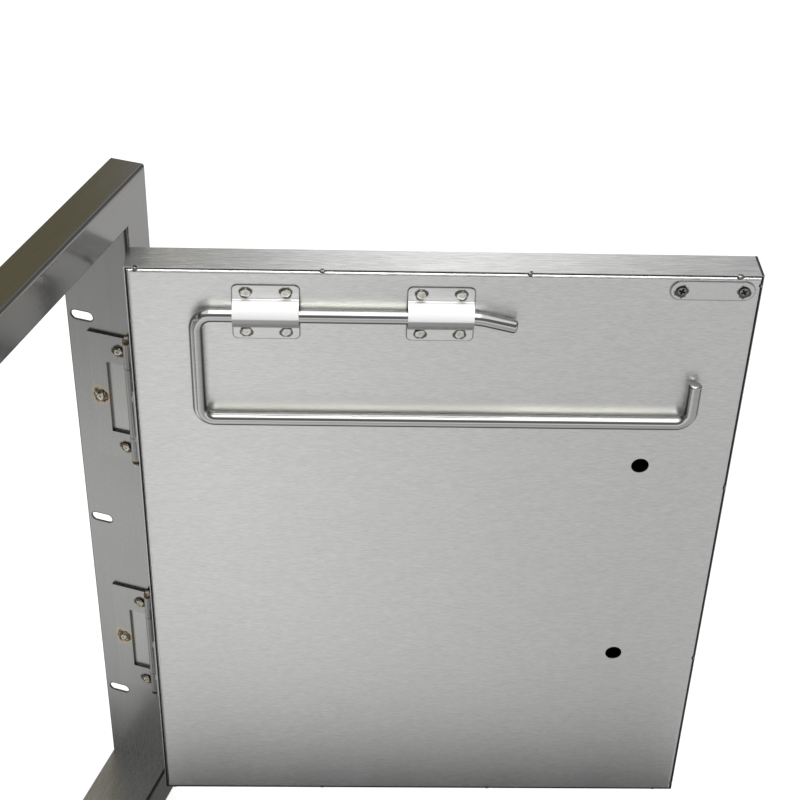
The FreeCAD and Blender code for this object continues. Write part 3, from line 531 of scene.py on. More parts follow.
def weld_soot(count):
    """Soot on weld tacks: a little in the middle, and more and more towards the rim and the base."""
    dome = np.interp(WELD_STEPS, (0.0, 0.5, 0.75, 1.0), (0.1, 0.3, 0.8, 1.0))
    rings = np.concatenate((dome, (1.0,)))
    return np.tile(np.concatenate((np.repeat(rings, WELD_COLUMNS), (0.1, 1.0))), count)


def bead_shape(inner, outer, rise, phase, waves=7, columns=40):
    """Weld round a pin: a rounded fillet from the pin down to the knuckle's end, rippled in some waves as
    it goes round."""
    angle = np.linspace(0.0, 2 * np.pi, columns, endpoint=False)
    a = np.linspace(0.0, np.pi / 2, 8)[:, None]
    ripple = 1 + 0.10 * np.sin(waves * angle + phase) + 0.08 * np.sin(2 * angle + 2 * phase)
    radius = inner + (outer - inner) * np.sin(a) * ripple
    height = rise * np.cos(a) * ripple
    fillet = np.stack((radius * np.cos(angle), radius * np.sin(angle), height), -1)
    foot = fillet[-1:] * (1.0, 1.0, 0.0) - (0.0, 0.0, 0.1 * rise)
    return closed_rings(np.concatenate((fillet, foot)))


# Shader helpers

def plug(tree, socket, value):
    """Link an output to a socket, or set the socket to a plain value."""
    if isinstance(value, bpy.types.NodeSocket):
        tree.links.new(value, socket)
    else:
        socket.default_value = value


def add(tree, kind, inputs=None, **settings):
    """New node. Its inputs are values, or outputs to link."""
    made = tree.nodes.new(kind)
    for name, value in settings.items():
        setattr(made, name, value)
    for name, value in (inputs or {}).items():
        plug(tree, made.inputs[name], value)
    return made


def maths(tree, operation, *values, clamp=False):
    """Result of a maths node."""
    made = add(tree, "ShaderNodeMath", dict(enumerate(values)), operation=operation, use_clamp=clamp)
    return made.outputs[0]


def vectors(tree, operation, *values, output=0):
    """Result of a vector maths node."""
    made = add(tree, "ShaderNodeVectorMath", dict(enumerate(values)), operation=operation)
    return made.outputs[output]


def split(tree, vector):
    """The three parts of a vector."""
    return add(tree, "ShaderNodeSeparateXYZ", {0: vector}).outputs


def joined(tree, x, y, z):
    """Vector of three parts."""
    return add(tree, "ShaderNodeCombineXYZ", {0: x, 1: y, 2: z}).outputs[0]


def times(tree, *values):
    """Product of some values."""
    product = values[0]
    for value in values[1:]:
        product = maths(tree, "MULTIPLY", product, value)
    return product


def strongest(tree, *masks):
    """The strongest of some masks."""
    highest = masks[0]
    for mask in masks[1:]:
        highest = maths(tree, "MAXIMUM", highest, mask)
    return highest


def size_of(tree, value):
    """A value without its sign."""
    return maths(tree, "ABSOLUTE", value)


def apart(tree, value, middle):
    """How far a value lies from a middle, on either side."""
    return size_of(tree, maths(tree, "SUBTRACT", value, middle))


def between(tree, part, first, second):
    """Value that lies a part of the way from first to second."""
    return maths(tree, "MULTIPLY_ADD", part, maths(tree, "SUBTRACT", second, first), first)


def facing(tree, vector, way):
    """How far a vector points one way: their dot product."""
    return vectors(tree, "DOT_PRODUCT", vector, tuple(way), output=1)


def mapped(tree, value, low, high, to_low, to_high, kind="LINEAR"):
    """Value moved from one range to another and held there."""
    inputs = {"Value": value, "From Min": low, "From Max": high, "To Min": to_low, "To Max": to_high}
    return add(tree, "ShaderNodeMapRange", inputs, interpolation_type=kind, clamp=True).outputs[0]


def mixed(tree, factor, first, second):
    """Colour between two colours."""
    made = add(tree, "ShaderNodeMix", {0: factor, 6: first, 7: second}, data_type="RGBA", blend_type="MIX")
    return made.outputs[2]


def noise(tree, vector, scale, detail=2.0, roughness=0.5):
    """Soft noise around 0.5."""
    inputs = {"Vector": vector, "Scale": scale, "Detail": detail, "Roughness": roughness}
    return add(tree, "ShaderNodeTexNoise", inputs).outputs[0]


def rgba(values):
    """A colour with full cover."""
    return (*values, 1.0)


def toned(values, factor):
    """A colour times a factor: darker below 1 and lighter above."""
    return tuple(value * factor for value in values)


def empty_material(name):
    """New material without nodes."""
    material = bpy.data.materials.new(name)
    material.use_nodes = True
    material.node_tree.nodes.clear()
    return material


# Effects that the finishes share

def new_group(name, inputs, label, kind="Float"):
    """Shader group with named inputs and one output. Returns it with its inner ends."""
    group = bpy.data.node_groups.new(name, "ShaderNodeTree")
    for entry_label, entry_kind, value in inputs:
        socket = group.interface.new_socket(
            entry_label, in_out="INPUT", socket_type="NodeSocket" + entry_kind)
        socket.default_value = value
    group.interface.new_socket(label, in_out="OUTPUT", socket_type="NodeSocket" + kind)
    entry = group.nodes.new("NodeGroupInput")
    leave = group.nodes.new("NodeGroupOutput")
    return group, entry.outputs, leave.inputs


def grain_group():
    """Brushed grain: noise drawn out along the rolling direction. On a level piece the grain runs along X,
    and along Y on its folded sides, and its lines lie across Z, or across Y on faces that look up or down.
    On an upright piece it runs along Z."""
    group, entry, leave = new_group(
        "brushed_grain",
        (("Vector", "Vector", (0, 0, 0)), ("Normal", "Vector", (0, 0, 1)), ("Upright", "Float", 0.0),
         ("Length", "Float", 0.04), ("Pitch", "Float", 0.0004)),
        "Streak")
    place = split(group, entry["Vector"])
    flat = maths(group, "GREATER_THAN", size_of(group, split(group, entry["Normal"])[2]), 0.7)
    upright = entry["Upright"]
    level_across = between(group, flat, place[2], place[1])
    across = between(group, upright, level_across, maths(group, "ADD", place[0], place[1]))
    folded = times(group, maths(group, "SUBTRACT", 1.0, flat), place[1])
    along = between(group, upright, maths(group, "ADD", place[0], folded), place[2])
    run = maths(group, "DIVIDE", along, entry["Length"])
    line = maths(group, "DIVIDE", across, entry["Pitch"])
    fine = joined(group, run, line, 0.37)
    broad = vectors(group, "MULTIPLY", fine, (0.4, 0.13, 1.0))
    lines = noise(group, fine, 1.0, 2.0, 0.6)
    bands = noise(group, broad, 1.0, 1.0, 0.5)
    total = maths(group, "MULTIPLY_ADD", bands, 0.12, times(group, lines, 0.88))
    group.links.new(mapped(group, total, 0.3, 0.7, 0.0, 1.0), leave["Streak"])


def cloud_group():
    """Cloudy film left by wiping: broad soft noise."""
    group, entry, leave = new_group(
        "wiped_film", (("Vector", "Vector", (0, 0, 0)), ("Size", "Float", 0.1)), "Cloud")
    scale = maths(group, "DIVIDE", 1.0, entry["Size"])
    cloud = noise(group, entry["Vector"], scale, 3.0, 0.55)
    group.links.new(mapped(group, cloud, 0.3, 0.7, 0.0, 1.0, "SMOOTHSTEP"), leave["Cloud"])


def outline_group():
    """Flat shape with rounded corners: full inside its outline and gone a width outside it. A half size of
    ANY_PLACE leaves that axis out."""
    group, entry, leave = new_group(
        "outline",
        (("Vector", "Vector", (0, 0, 0)), ("Centre", "Vector", (0, 0, 0)), ("Half", "Vector", (1, 1, 1)),
         ("Corner", "Float", 0.001), ("Width", "Float", 0.001)),
        "Line")
    off = vectors(group, "ABSOLUTE", vectors(group, "SUBTRACT", entry["Vector"], entry["Centre"]))
    corner = joined(group, entry["Corner"], entry["Corner"], entry["Corner"])
    past = vectors(group, "ADD", vectors(group, "SUBTRACT", off, entry["Half"]), corner)
    past = vectors(group, "MAXIMUM", past, (0.0, 0.0, 0.0))
    gap = maths(group, "SUBTRACT", vectors(group, "LENGTH", past, output=1), entry["Corner"])
    start = times(group, entry["Width"], 0.4)
    group.links.new(mapped(group, gap, entry["Width"], start, 0.0, 1.0), leave["Line"])


def halo_group():
    """Heat round a weld or rivet: full at the centre, gone at the radius, with a ragged rim."""
    group, entry, leave = new_group(
        "heat_halo",
        (("Vector", "Vector", (0, 0, 0)), ("Centre", "Vector", (0, 0, 0)), ("Radius", "Float", 0.008)),
        "Heat")
    gap = vectors(group, "DISTANCE", entry["Vector"], entry["Centre"], output=1)
    ragged = mapped(group, noise(group, entry["Vector"], 200.0, 2.0, 0.6), 0.3, 0.7, 0.75, 1.25)
    ratio = maths(group, "DIVIDE", times(group, gap, ragged), entry["Radius"])
    group.links.new(mapped(group, ratio, 1.0, 0.25, 0.0, 1.0, "SMOOTHSTEP"), leave["Heat"])


def tint_group(colours):
    """Heat tint: the steel's own colour goes straw and then brown as the heat rises."""
    group, entry, leave = new_group(
        "heat_tint", (("Heat", "Float", 0.0), ("Steel", "Color", (0.6, 0.6, 0.6, 1.0))), "Color", "Color")
    warm = mapped(group, entry["Heat"], 0.05, 0.5, 0.0, 0.6)
    hot = mapped(group, entry["Heat"], 0.5, 0.95, 0.0, 0.9)
    straw = mixed(group, warm, entry["Steel"], rgba(colours.straw))
    group.links.new(mixed(group, hot, straw, rgba(colours.brown)), leave["Color"])


class Finish:
    """Node material under way: a Principled shader and the parts that most finishes share. Shut draws its
    pattern as on the shut door."""

    def __init__(self, name, shut=False):
        self.material = empty_material(name)
        self.tree = self.material.node_tree
        output = self.tree.nodes.new("ShaderNodeOutputMaterial")
        self.shader = self.tree.nodes.new("ShaderNodeBsdfPrincipled")
        self.tree.links.new(self.shader.outputs[0], output.inputs[0])
        source = self.tree.nodes.new("ShaderNodeTexCoord")
        self.place = source.outputs["Object"]
        self.look = source.outputs["Normal"]
        if shut:
            moved = -to_rest((0.0, 0.0, 0.0)) @ OPEN_TURN
            turn_back = {"Vector": self.place, "Location": moved, "Rotation": (0.0, 0.0, -OPEN_ANGLE)}
            self.place = add(self.tree, "ShaderNodeMapping", turn_back).outputs[0]

    def group(self, name, **inputs):
        """Result of a shared effect."""
        made = self.tree.nodes.new("ShaderNodeGroup")
        made.node_tree = bpy.data.node_groups[name]
        for label, value in inputs.items():
            plug(self.tree, made.inputs[label], value)
        return made.outputs[0]

    def grain(self, upright, run, pitch):
        """Streaks of a brushed grain, so long and so far apart."""
        return self.group(
            "brushed_grain", Vector=self.place, Normal=self.look, Upright=upright, Length=run, Pitch=pitch)

    def film(self, size):
        """Clouds of a wiped film."""
        return self.group("wiped_film", Vector=self.place, Size=size)

    def outline(self, centre, half, corner, width):
        """Flat shape with rounded corners that fades over a width."""
        return self.group(
            "outline", Vector=self.place, Centre=centre, Half=half, Corner=corner, Width=width)

    def bump(self, height, strength, distance):
        """Relief of the surface."""
        inputs = {"Height": height, "Strength": strength, "Distance": distance}
        plug(self.tree, self.shader.inputs["Normal"], add(self.tree, "ShaderNodeBump", inputs).outputs[0])

    def done(self, shade, roughness, metallic=1.0):
        """Feed the shader and hand over the material."""
        for name, value in (("Base Color", shade), ("Roughness", roughness), ("Metallic", metallic)):
            plug(self.tree, self.shader.inputs[name], value)
        return self.material


# Marks on the sheet

def soot_and_shade_colour():
    """Colour of dark seams and edges, and of painted shade."""
    return rgba(bpy.context.scene.unit_colours.soot)


def heat_and_shade_marks(finish, shade, spots):
    """Tint round each spot, as strong as its weight, and a thin ring of painted contact shade where a head
    meets the sheet.
    """
    tree = finish.tree
    heats = []
    rings = []
    for vector, centre, radius, weight, edge in spots:
        heat = finish.group("heat_halo", Vector=vector, Centre=centre, Radius=radius)
        heats.append(times(tree, heat, weight))
        rings.append(finish.group("heat_halo", Vector=vector, Centre=centre, Radius=edge))
    shade = finish.group("heat_tint", Heat=strongest(tree, *heats), Steel=shade)
    # Painted contact shade: a dark ring round each head.
    ring = mapped(tree, strongest(tree, *rings), 0.0, 0.18, 0.0, 0.85)
    return mixed(tree, ring, shade, soot_and_shade_colour())


def hinge_levels():
    """Heights of both hinges' middles, the upper one first."""
    spread = bpy.context.scene.unit_hinge.spread
    return PIN_Z + spread / 2, PIN_Z - spread / 2


def hinge_halos(finish):
    """Heat round the rivets and the pin welds of both hinges, folded onto one hinge's upper half: the
    height is taken from the middle of the unit, then from a hinge's middle. Each spot has a vector, a
    centre, the heat's radius and weight, and the radius of a ring of painted shade."""
    tree = finish.tree
    hinge = bpy.context.scene.unit_hinge
    spot = split(tree, finish.place)
    from_hinge = apart(tree, apart(tree, spot[2], PIN_Z), hinge.spread / 2)
    behind = maths(tree, "SUBTRACT", spot[1], PIN_Y)
    folded = joined(tree, 0.0, behind, from_hinge)
    return (
        (folded, (0.0, hinge.arm_depth, hinge.arm_rivet), 0.0072, 0.4, 0.0056),
        (folded, (0.0, hinge.back_depth, 0.0), 0.0105, 0.95, 0.0056),
        (folded, (0.0, 0.0, hinge.reach), 0.0060, 0.7, 0.0030),
    )


def clip_halos(finish):
    """Heat and a ring of painted shade round the clips' rivets, folded onto one quarter of one clip, as in
    hinge_halos.
    """
    tree = finish.tree
    scene = bpy.context.scene
    clip = scene.unit_clip
    door = scene.unit_door
    spot = split(tree, finish.place)
    middle = door.hinge_edge - (clip.first + clip.second) / 2
    from_clip = apart(tree, apart(tree, spot[0], middle), (clip.second - clip.first) / 2)
    up = apart(tree, spot[2], door.top - scene.unit_rod.drop)
    centre = (clip.width / 2 - clip.rivet_inset, 0.0, (clip.saddle + clip.height / 2) / 2)
    return ((joined(tree, from_clip, 0.0, up), centre, 0.0064, 0.3, 0.0047),)


def strike_screw_shadows(finish):
    """Painted shadows round the strike plate's screws, a little below them, with a faint tint, folded onto
    one screw.
    """
    tree = finish.tree
    scene = bpy.context.scene
    door = scene.unit_door
    strike = scene.unit_strike
    spot = split(tree, finish.place)
    aside = apart(tree, spot[0], door.free_edge + strike.edge)
    drop = maths(tree, "SUBTRACT", door.top - strike.drop, spot[2])
    # The shadows' middles lie 0.8 mm below the screws.
    return ((joined(tree, aside, 0.0, drop), (strike.pitch / 2, 0.0, 0.0008), 0.007, 0.15, 0.0052),)


def trim_grain(finish):
    """1 on the trim's uprights and its mullion, where the grain runs up, with mitres at the corners."""
    tree = finish.tree
    trim = bpy.context.scene.unit_trim
    spot = split(tree, finish.place)
    middle = (CAD_BOX[0][2] + CAD_BOX[1][2]) / 2
    level = maths(tree, "SUBTRACT", apart(tree, spot[2], middle), CAD_BOX[1][2] - middle)
    side = maths(tree, "ADD", size_of(tree, spot[0]), CAD_BOX[0][0])
    stile = maths(tree, "GREATER_THAN", side, level)
    near = maths(tree, "LESS_THAN", apart(tree, spot[0], trim.mullion), trim.mullion_width / 2)
    inside = maths(tree, "LESS_THAN", level, -trim.face)
    return strongest(tree, stile, times(tree, near, inside))


def trim_fold_shade(finish):
    """Painted shade on the folds between the trim's sides and its front, from the turn of the side onwards.
    """
    tree = finish.tree
    ahead = size_of(tree, split(tree, finish.look)[1])
    start = mapped(tree, ahead, 0.06, 0.2, 0.0, 0.72)
    stop = mapped(tree, ahead, 0.5, 0.85, 1.0, 0.2)
    front = mapped(tree, ahead, 0.97, 0.995, 1.0, 0.0)
    return times(tree, start, stop, front)


def wall_seam(finish):
    """Dark line where the sleeve's walls stand against the back of the trim."""
    trim = bpy.context.scene.unit_trim
    depth = split(finish.tree, finish.place)[1]
    return mapped(finish.tree, depth, trim.seam + trim.seam_width, trim.seam, 0.0, 0.9, "SMOOTHSTEP")


def slot_lines(finish):
    """Dark lines on a jamb: its seam with the trim, its back edge and the rims of its slots."""
    tree = finish.tree
    slot = bpy.context.scene.unit_slot
    half = (ANY_PLACE, slot.length / 2, slot.width / 2)
    lines = [wall_seam(finish)]
    for step in (-1, 0, 1):
        centre = (0.0, slot.depth, PIN_Z + step * slot.pitch)
        lines.append(times(tree, finish.outline(centre, half, slot.width / 2, 0.0009), 0.8))
    back = node_box("right_jamb")[1][1]
    lines.append(mapped(tree, split(tree, finish.place)[1], back - 0.0007, back - 0.0004, 0.0, 0.6))
    return strongest(tree, *lines)


def jamb_lines(finish):
    """Dark lines on the hinges' jamb: its seam and slots, and the shade round the hinge leaves."""
    tree = finish.tree
    hinge = bpy.context.scene.unit_hinge
    half = np.array((ANY_PLACE, hinge.leaf_width / 2, hinge.reach))
    lines = [slot_lines(finish)]
    for level in hinge_levels():
        centre = (0.0, PIN_Y + hinge.leaf_width / 2, level)
        round_leaf = finish.outline(centre, tuple(half), 0.0005, 0.001)
        under_leaf = finish.outline(centre, tuple(half - 0.002), 0.0, 0.0001)
        shade = maths(tree, "SUBTRACT", round_leaf, under_leaf, clamp=True)
        lines.append(times(tree, shade, 0.35))
    return strongest(tree, *lines)


def window_painted_light(finish):
    """Painted light on the jamb in the windows of the hinge leaves."""
    hinge = bpy.context.scene.unit_hinge
    half = (ANY_PLACE, hinge.window_width / 2, hinge.window_height / 2)
    windows = [
        finish.outline((0.0, PIN_Y + hinge.window_depth, level), half, 0.0005, 0.0005)
        for level in hinge_levels()]
    return strongest(finish.tree, *windows)


def liner_painted_shade(finish):
    """Painted shade on the door's liner: shadow lines round the clips and the strike plate, set a little
    low, and a dark line on the fold along its hinge side with a dim strip outside it. Each plate has a
    centre, half sizes, a corner, and the line's width and weight."""
    tree = finish.tree
    scene = bpy.context.scene
    door = scene.unit_door
    clip = scene.unit_clip
    strike = scene.unit_strike
    height = door.top - scene.unit_rod.drop
    half = (clip.width / 2, ANY_PLACE, clip.height / 2)
    # The lines sit a little low, as painted shadows below each plate.
    shadow_drop = 0.0003
    plates = [
        ((door.hinge_edge - centre, 0.0, height - shadow_drop), half, clip.corner, 0.001, 0.75)
        for centre in (clip.first, clip.second)]
    plates.append((
        (door.free_edge + strike.edge, 0.0, door.top - strike.drop - 2 * shadow_drop),
        (strike.length / 2, ANY_PLACE, strike.height / 2), strike.height / 2, 0.0014, 0.5))
    lines = [times(tree, finish.outline(*plate), weight) for *plate, weight in plates]
    across = split(tree, finish.place)[0]
    fold = door.hinge_edge - door.liner_fold
    lines.append(mapped(tree, apart(tree, across, fold), 0.0005, 0.00025, 0.0, 0.75))
    lines.append(mapped(tree, across, fold, fold + 0.0002, 0.0, 0.3))
    return strongest(tree, *lines)


def rod_painted_reflection(finish):
    """Painted reflection of the towel rod: a bright band above each level bar, fading at both ends."""
    tree = finish.tree
    door = bpy.context.scene.unit_door
    rod = bpy.context.scene.unit_rod
    spot = split(tree, finish.place)
    top = door.top - rod.drop
    near = door.hinge_edge - rod.near
    far = door.free_edge + rod.far
    kink = door.hinge_edge - rod.toe_start
    bands = []
    for level, end in ((top, kink), (top - rod.loop, far)):
        rise = mapped(tree, spot[2], level + 0.002, level + 0.005, 0.0, 1.0, "SMOOTHSTEP")
        fall = mapped(tree, spot[2], level + 0.014, level + 0.007, 0.0, 1.0, "SMOOTHSTEP")
        start = mapped(tree, spot[0], near, near - 0.03, 0.0, 0.85)
        stop = mapped(tree, spot[0], end, end + 0.03, 0.0, 1.0)
        bands.append(times(tree, rise, fall, start, stop))
    return strongest(tree, *bands)


def skin_edge(finish):
    """Dark cut edge of an outer skin: the last quarter of a millimetre before its rim."""
    rim = bpy.context.scene.unit_door.rim
    depth = split(finish.tree, finish.place)[1]
    return mapped(finish.tree, depth, rim - 0.00045, rim - 0.00025, 0.0, 0.92)


def door_skin_edge(finish):
    """The dark edge of the door's outer skin, but for a bright line along its outer side, and the folded
    corner's seam at the free end of its top and bottom."""
    tree = finish.tree
    door = bpy.context.scene.unit_door
    low = np.array((door.free_edge, -ANY_PLACE, door.bottom))
    high = np.array((door.hinge_edge, ANY_PLACE, door.top))
    bright = 0.0004
    inside = finish.outline(tuple((low + high) / 2), tuple((high - low) / 2 - bright), 0.0, 0.0001)
    level = maths(tree, "GREATER_THAN", size_of(tree, split(tree, finish.look)[2]), 0.7)
    across = split(tree, finish.place)[0]
    seam = mapped(tree, across, door.free_edge + 0.0019, door.free_edge + 0.0014, 0.0, 0.92)
    return strongest(tree, times(tree, skin_edge(finish), inside), times(tree, level, seam))


def leaf_edges_and_shade(finish):
    """Cut edges of a hinge leaf, darkened partly as painted shade: faces that look up or down, and faces of
    the plate on the wall that look to the front or the back."""
    tree = finish.tree
    look = split(tree, finish.look)
    depth = split(tree, finish.place)[1]
    level = maths(tree, "GREATER_THAN", size_of(tree, look[2]), 0.7)
    back = maths(tree, "GREATER_THAN", size_of(tree, look[1]), 0.9)
    plate = maths(tree, "GREATER_THAN", depth, PIN_Y + 0.005)
    hatch = mapped(tree, noise(tree, finish.place, 900.0, 2.0, 0.6), 0.3, 0.7, 0.4, 0.75)
    return times(tree, strongest(tree, level, times(tree, back, plate)), hatch)


def knuckle_shade(finish):
    """Painted shade on the hinge's knuckles, within a short distance of the pin's axis."""
    tree = finish.tree
    flat = vectors(tree, "MULTIPLY", finish.place, (1.0, 1.0, 0.0))
    gap = vectors(tree, "DISTANCE", flat, (PIN_X, PIN_Y, 0.0), output=1)
    return mapped(tree, gap, 0.0037, 0.0031, 0.0, 0.22)


def leaf_shade(finish):
    """Cut edges, darkened partly as painted shade, and painted shade on the knuckles of a frame leaf."""
    return strongest(finish.tree, leaf_edges_and_shade(finish), knuckle_shade(finish))


# Finishes

def brushed_steel(name, steel, rough, shut=False, upright=0.0, run=0.03, pitch=0.0005, contrast=0.10,
                  cut=0.00001, film=0.16, glow=None, halos=None, dark=None):
    """Sheet with a brushed grain: the lines shade the colour and the roughness and cut the surface, and a
    wiped film clouds it. Upright is 0, 1 or a function that gives a mask, and so is dark, for seams and
    painted shade. Glow is such a function with the colour of the painted light that it brings, and halos
    a function that lists heated spots, each with a ring of painted shade."""
    finish = Finish(name, shut)
    tree = finish.tree
    streak = finish.grain(upright(finish) if callable(upright) else upright, run, pitch)
    cloud = finish.film(film)
    shade = mixed(tree, streak, rgba(toned(steel, 1 - contrast)), rgba(toned(steel, 1 + contrast)))
    shade = mixed(tree, times(tree, cloud, 0.10), shade, rgba(toned(steel, 0.72)))
    worn = maths(tree, "MULTIPLY_ADD", cloud, 0.5, times(tree, streak, 0.5))
    # Painted light: the light in the hinge windows and the rod's reflection.
    if glow:
        mask, bright = glow
        shade = mixed(tree, mask(finish), shade, rgba(bright))
    if halos:
        shade = heat_and_shade_marks(finish, shade, halos(finish))
    # Dark seams and painted shade.
    if dark:
        shade = mixed(tree, dark(finish), shade, soot_and_shade_colour())
    finish.bump(streak, 1.0, cut)
    return finish.done(shade, mapped(tree, worn, 0.0, 1.0, *rough))


def heated_steel(name, steel, rough, heat_low, heat_high, burnt=None):
    """Rivets, screws and welds: small patches of heat tint on bright steel, scuffed here and there, and
    darkened by a value at each point and on sides that look the way of burnt. Soot on the welds is their
    own; the dark in the hollows and round the rims of rivets and screws is painted shade, and so is the
    dark on sides that look the way of burnt."""
    finish = Finish(name)
    tree = finish.tree
    heat = mapped(tree, noise(tree, finish.place, 260.0, 2.0, 0.55), heat_low, heat_high, 0.0, 1.0)
    scuff = noise(tree, finish.place, 1900.0, 2.0, 0.6)
    soot = add(tree, "ShaderNodeAttribute", attribute_name="soot").outputs["Fac"]
    # Painted shade on the sides that look the way of burnt.
    if burnt:
        soot = strongest(tree, soot, mapped(tree, facing(tree, finish.look, burnt), 0.2, 0.5, 0.0, 0.85))
    shade = finish.group("heat_tint", Heat=heat, Steel=rgba(steel))
    shade = mixed(tree, mapped(tree, scuff, 0.45, 0.7, 0.0, 0.3), shade, rgba(toned(steel, 0.45)))
    shade = mixed(tree, times(tree, soot, 0.94), shade, soot_and_shade_colour())
    finish.bump(scuff, 0.3, 0.00008)
    return finish.done(shade, mapped(tree, scuff, 0.3, 0.7, *rough))


def clip_steel(name, flange, saddle):
    """Clip sheet: satin flanges with tinted rivet holes, and a half-round with a painted highlight, bright
    and almost white, where it faces up from a little above the flange, and painted shade where it turns
    down."""
    finish = Finish(name, shut=True)
    tree = finish.tree
    scene = bpy.context.scene
    streak = finish.grain(0.0, 0.01, 0.0006)
    start = scene.unit_door.inner_face + scene.unit_clip.sheet
    depth = split(tree, finish.place)[1]
    hump = mapped(tree, depth, start + 0.0004, start + 0.0024, 0.0, 1.0, "SMOOTHSTEP")
    tilt = split(tree, finish.look)[2]
    white = times(tree, hump, mapped(tree, tilt, 0.0, 0.1, 0.0, 1.0))
    shade = mixed(tree, streak, rgba(toned(flange, 0.92)), rgba(toned(flange, 1.06)))
    shade = heat_and_shade_marks(finish, shade, clip_halos(finish))
    # Painted shade over the half-round, left where it turns down.
    shade = mixed(tree, hump, shade, rgba(toned(flange, 0.5)))
    # Painted highlight: near white where the half-round faces up.
    shade = mixed(tree, white, shade, rgba(saddle))
    return finish.done(
        shade, mapped(tree, streak, 0.0, 1.0, 0.32, 0.42), mapped(tree, white, 0.0, 1.0, 1.0, 0.1))


def flank_shade(finish, along, ahead, middle):
    """Painted shade on the towel rod's sides: those that look along the door towards a middle place, and
    the outermost and lower sides, all but for the back."""
    tree = finish.tree
    turn = facing(tree, finish.look, along)
    front = mapped(tree, facing(tree, finish.look, ahead), -0.3, 0.0, 0.0, 1.0)
    side = maths(tree, "SIGN", maths(tree, "SUBTRACT", middle, split(tree, finish.place)[0]))
    inner = mapped(tree, times(tree, turn, side), 0.5, 0.72, 0.0, 0.85)
    outer = mapped(tree, size_of(tree, turn), 0.54, 0.7, 0.0, 0.85)
    under = mapped(tree, split(tree, finish.look)[2], -0.26, -0.4, 0.0, 0.92)
    return times(tree, strongest(tree, inner, outer, under), front)


def polished_bar(name, steel, rough, shut=False, flank=None):
    """Polished bar: faint drawn lines along it and a wiped film, both only in gloss and shade. Flank holds
    the values of flank_shade."""
    finish = Finish(name, shut)
    tree = finish.tree
    streak = finish.grain(0.0, 0.12, 0.0006)
    cloud = finish.film(0.035)
    shade = mixed(tree, streak, rgba(toned(steel, 0.93)), rgba(toned(steel, 1.05)))
    if flank:
        shade = mixed(tree, flank_shade(finish, *flank), shade, rgba(toned(steel, 0.12)))
    worn = maths(tree, "MULTIPLY_ADD", cloud, 0.7, times(tree, streak, 0.3))
    return finish.done(shade, mapped(tree, worn, 0.0, 1.0, *rough))


def plated_steel(name, steel, rough, plate_way=None, rings=None):
    """Zinc plate: fine spangle in the gloss and a faint blue and straw cast in patches. A plate that looks
    one way has its cut edges darkened, partly as painted shade, and painted shadows round its screws."""
    finish = Finish(name, shut=rings is not None)
    tree = finish.tree
    spangle = noise(tree, finish.place, 420.0, 2.0, 0.6)
    cool = (steel[0] * 0.97, steel[1] * 0.985, steel[2])
    warm = (steel[0] * 1.01, steel[1], steel[2] * 0.97)
    shade = mixed(tree, finish.film(0.02), rgba(cool), rgba(warm))
    shade = mixed(tree, mapped(tree, spangle, 0.35, 0.7, 0.0, 0.2), shade, rgba(toned(steel, 0.7)))
    # Painted shadows round the screws.
    if rings:
        shade = heat_and_shade_marks(finish, shade, rings(finish))
    # Cut edges darkened, partly as painted shade.
    if plate_way is not None:
        turn = size_of(tree, facing(tree, finish.look, plate_way))
        shade = mixed(tree, mapped(tree, turn, 0.85, 0.6, 0.0, 0.55), shade, soot_and_shade_colour())
    finish.bump(spangle, 0.25, 0.00006)
    return finish.done(shade, mapped(tree, spangle, 0.3, 0.7, *rough))


def moulded(name, shade, rough, grain):
    """Matt plastic or sintered stone: a fine grain in shade, gloss and surface."""
    finish = Finish(name)
    tree = finish.tree
    speckle = noise(tree, finish.place, grain, 3.0, 0.6)
    finish.bump(speckle, 0.4, 0.00005)
    return finish.done(
        mixed(tree, speckle, rgba(toned(shade, 0.8)), rgba(toned(shade, 1.25))),
        mapped(tree, speckle, 0.3, 0.7, *rough), metallic=0.0)


def cut_edge_and_shade(name, shade):
    """Dark edge of cut sheet, streaked by the cut, and darkened partly as painted shade."""
    finish = Finish(name)
    tree = finish.tree
    streak = noise(tree, finish.place, 700.0, 2.0, 0.6)
    return finish.done(
        mixed(tree, streak, rgba(toned(shade, 0.6)), rgba(toned(shade, 1.4))),
        mapped(tree, streak, 0.3, 0.7, 0.4, 0.6))


def dress(material, *names):
    """Give CAD nodes a finish."""
    for name in names:
        for place in NODES[name].material_slots:
            place.material = material


def node_box(name):
    """Low and high corner of a CAD node."""
    return tuple(tuple(corner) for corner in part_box(name))


# Operators

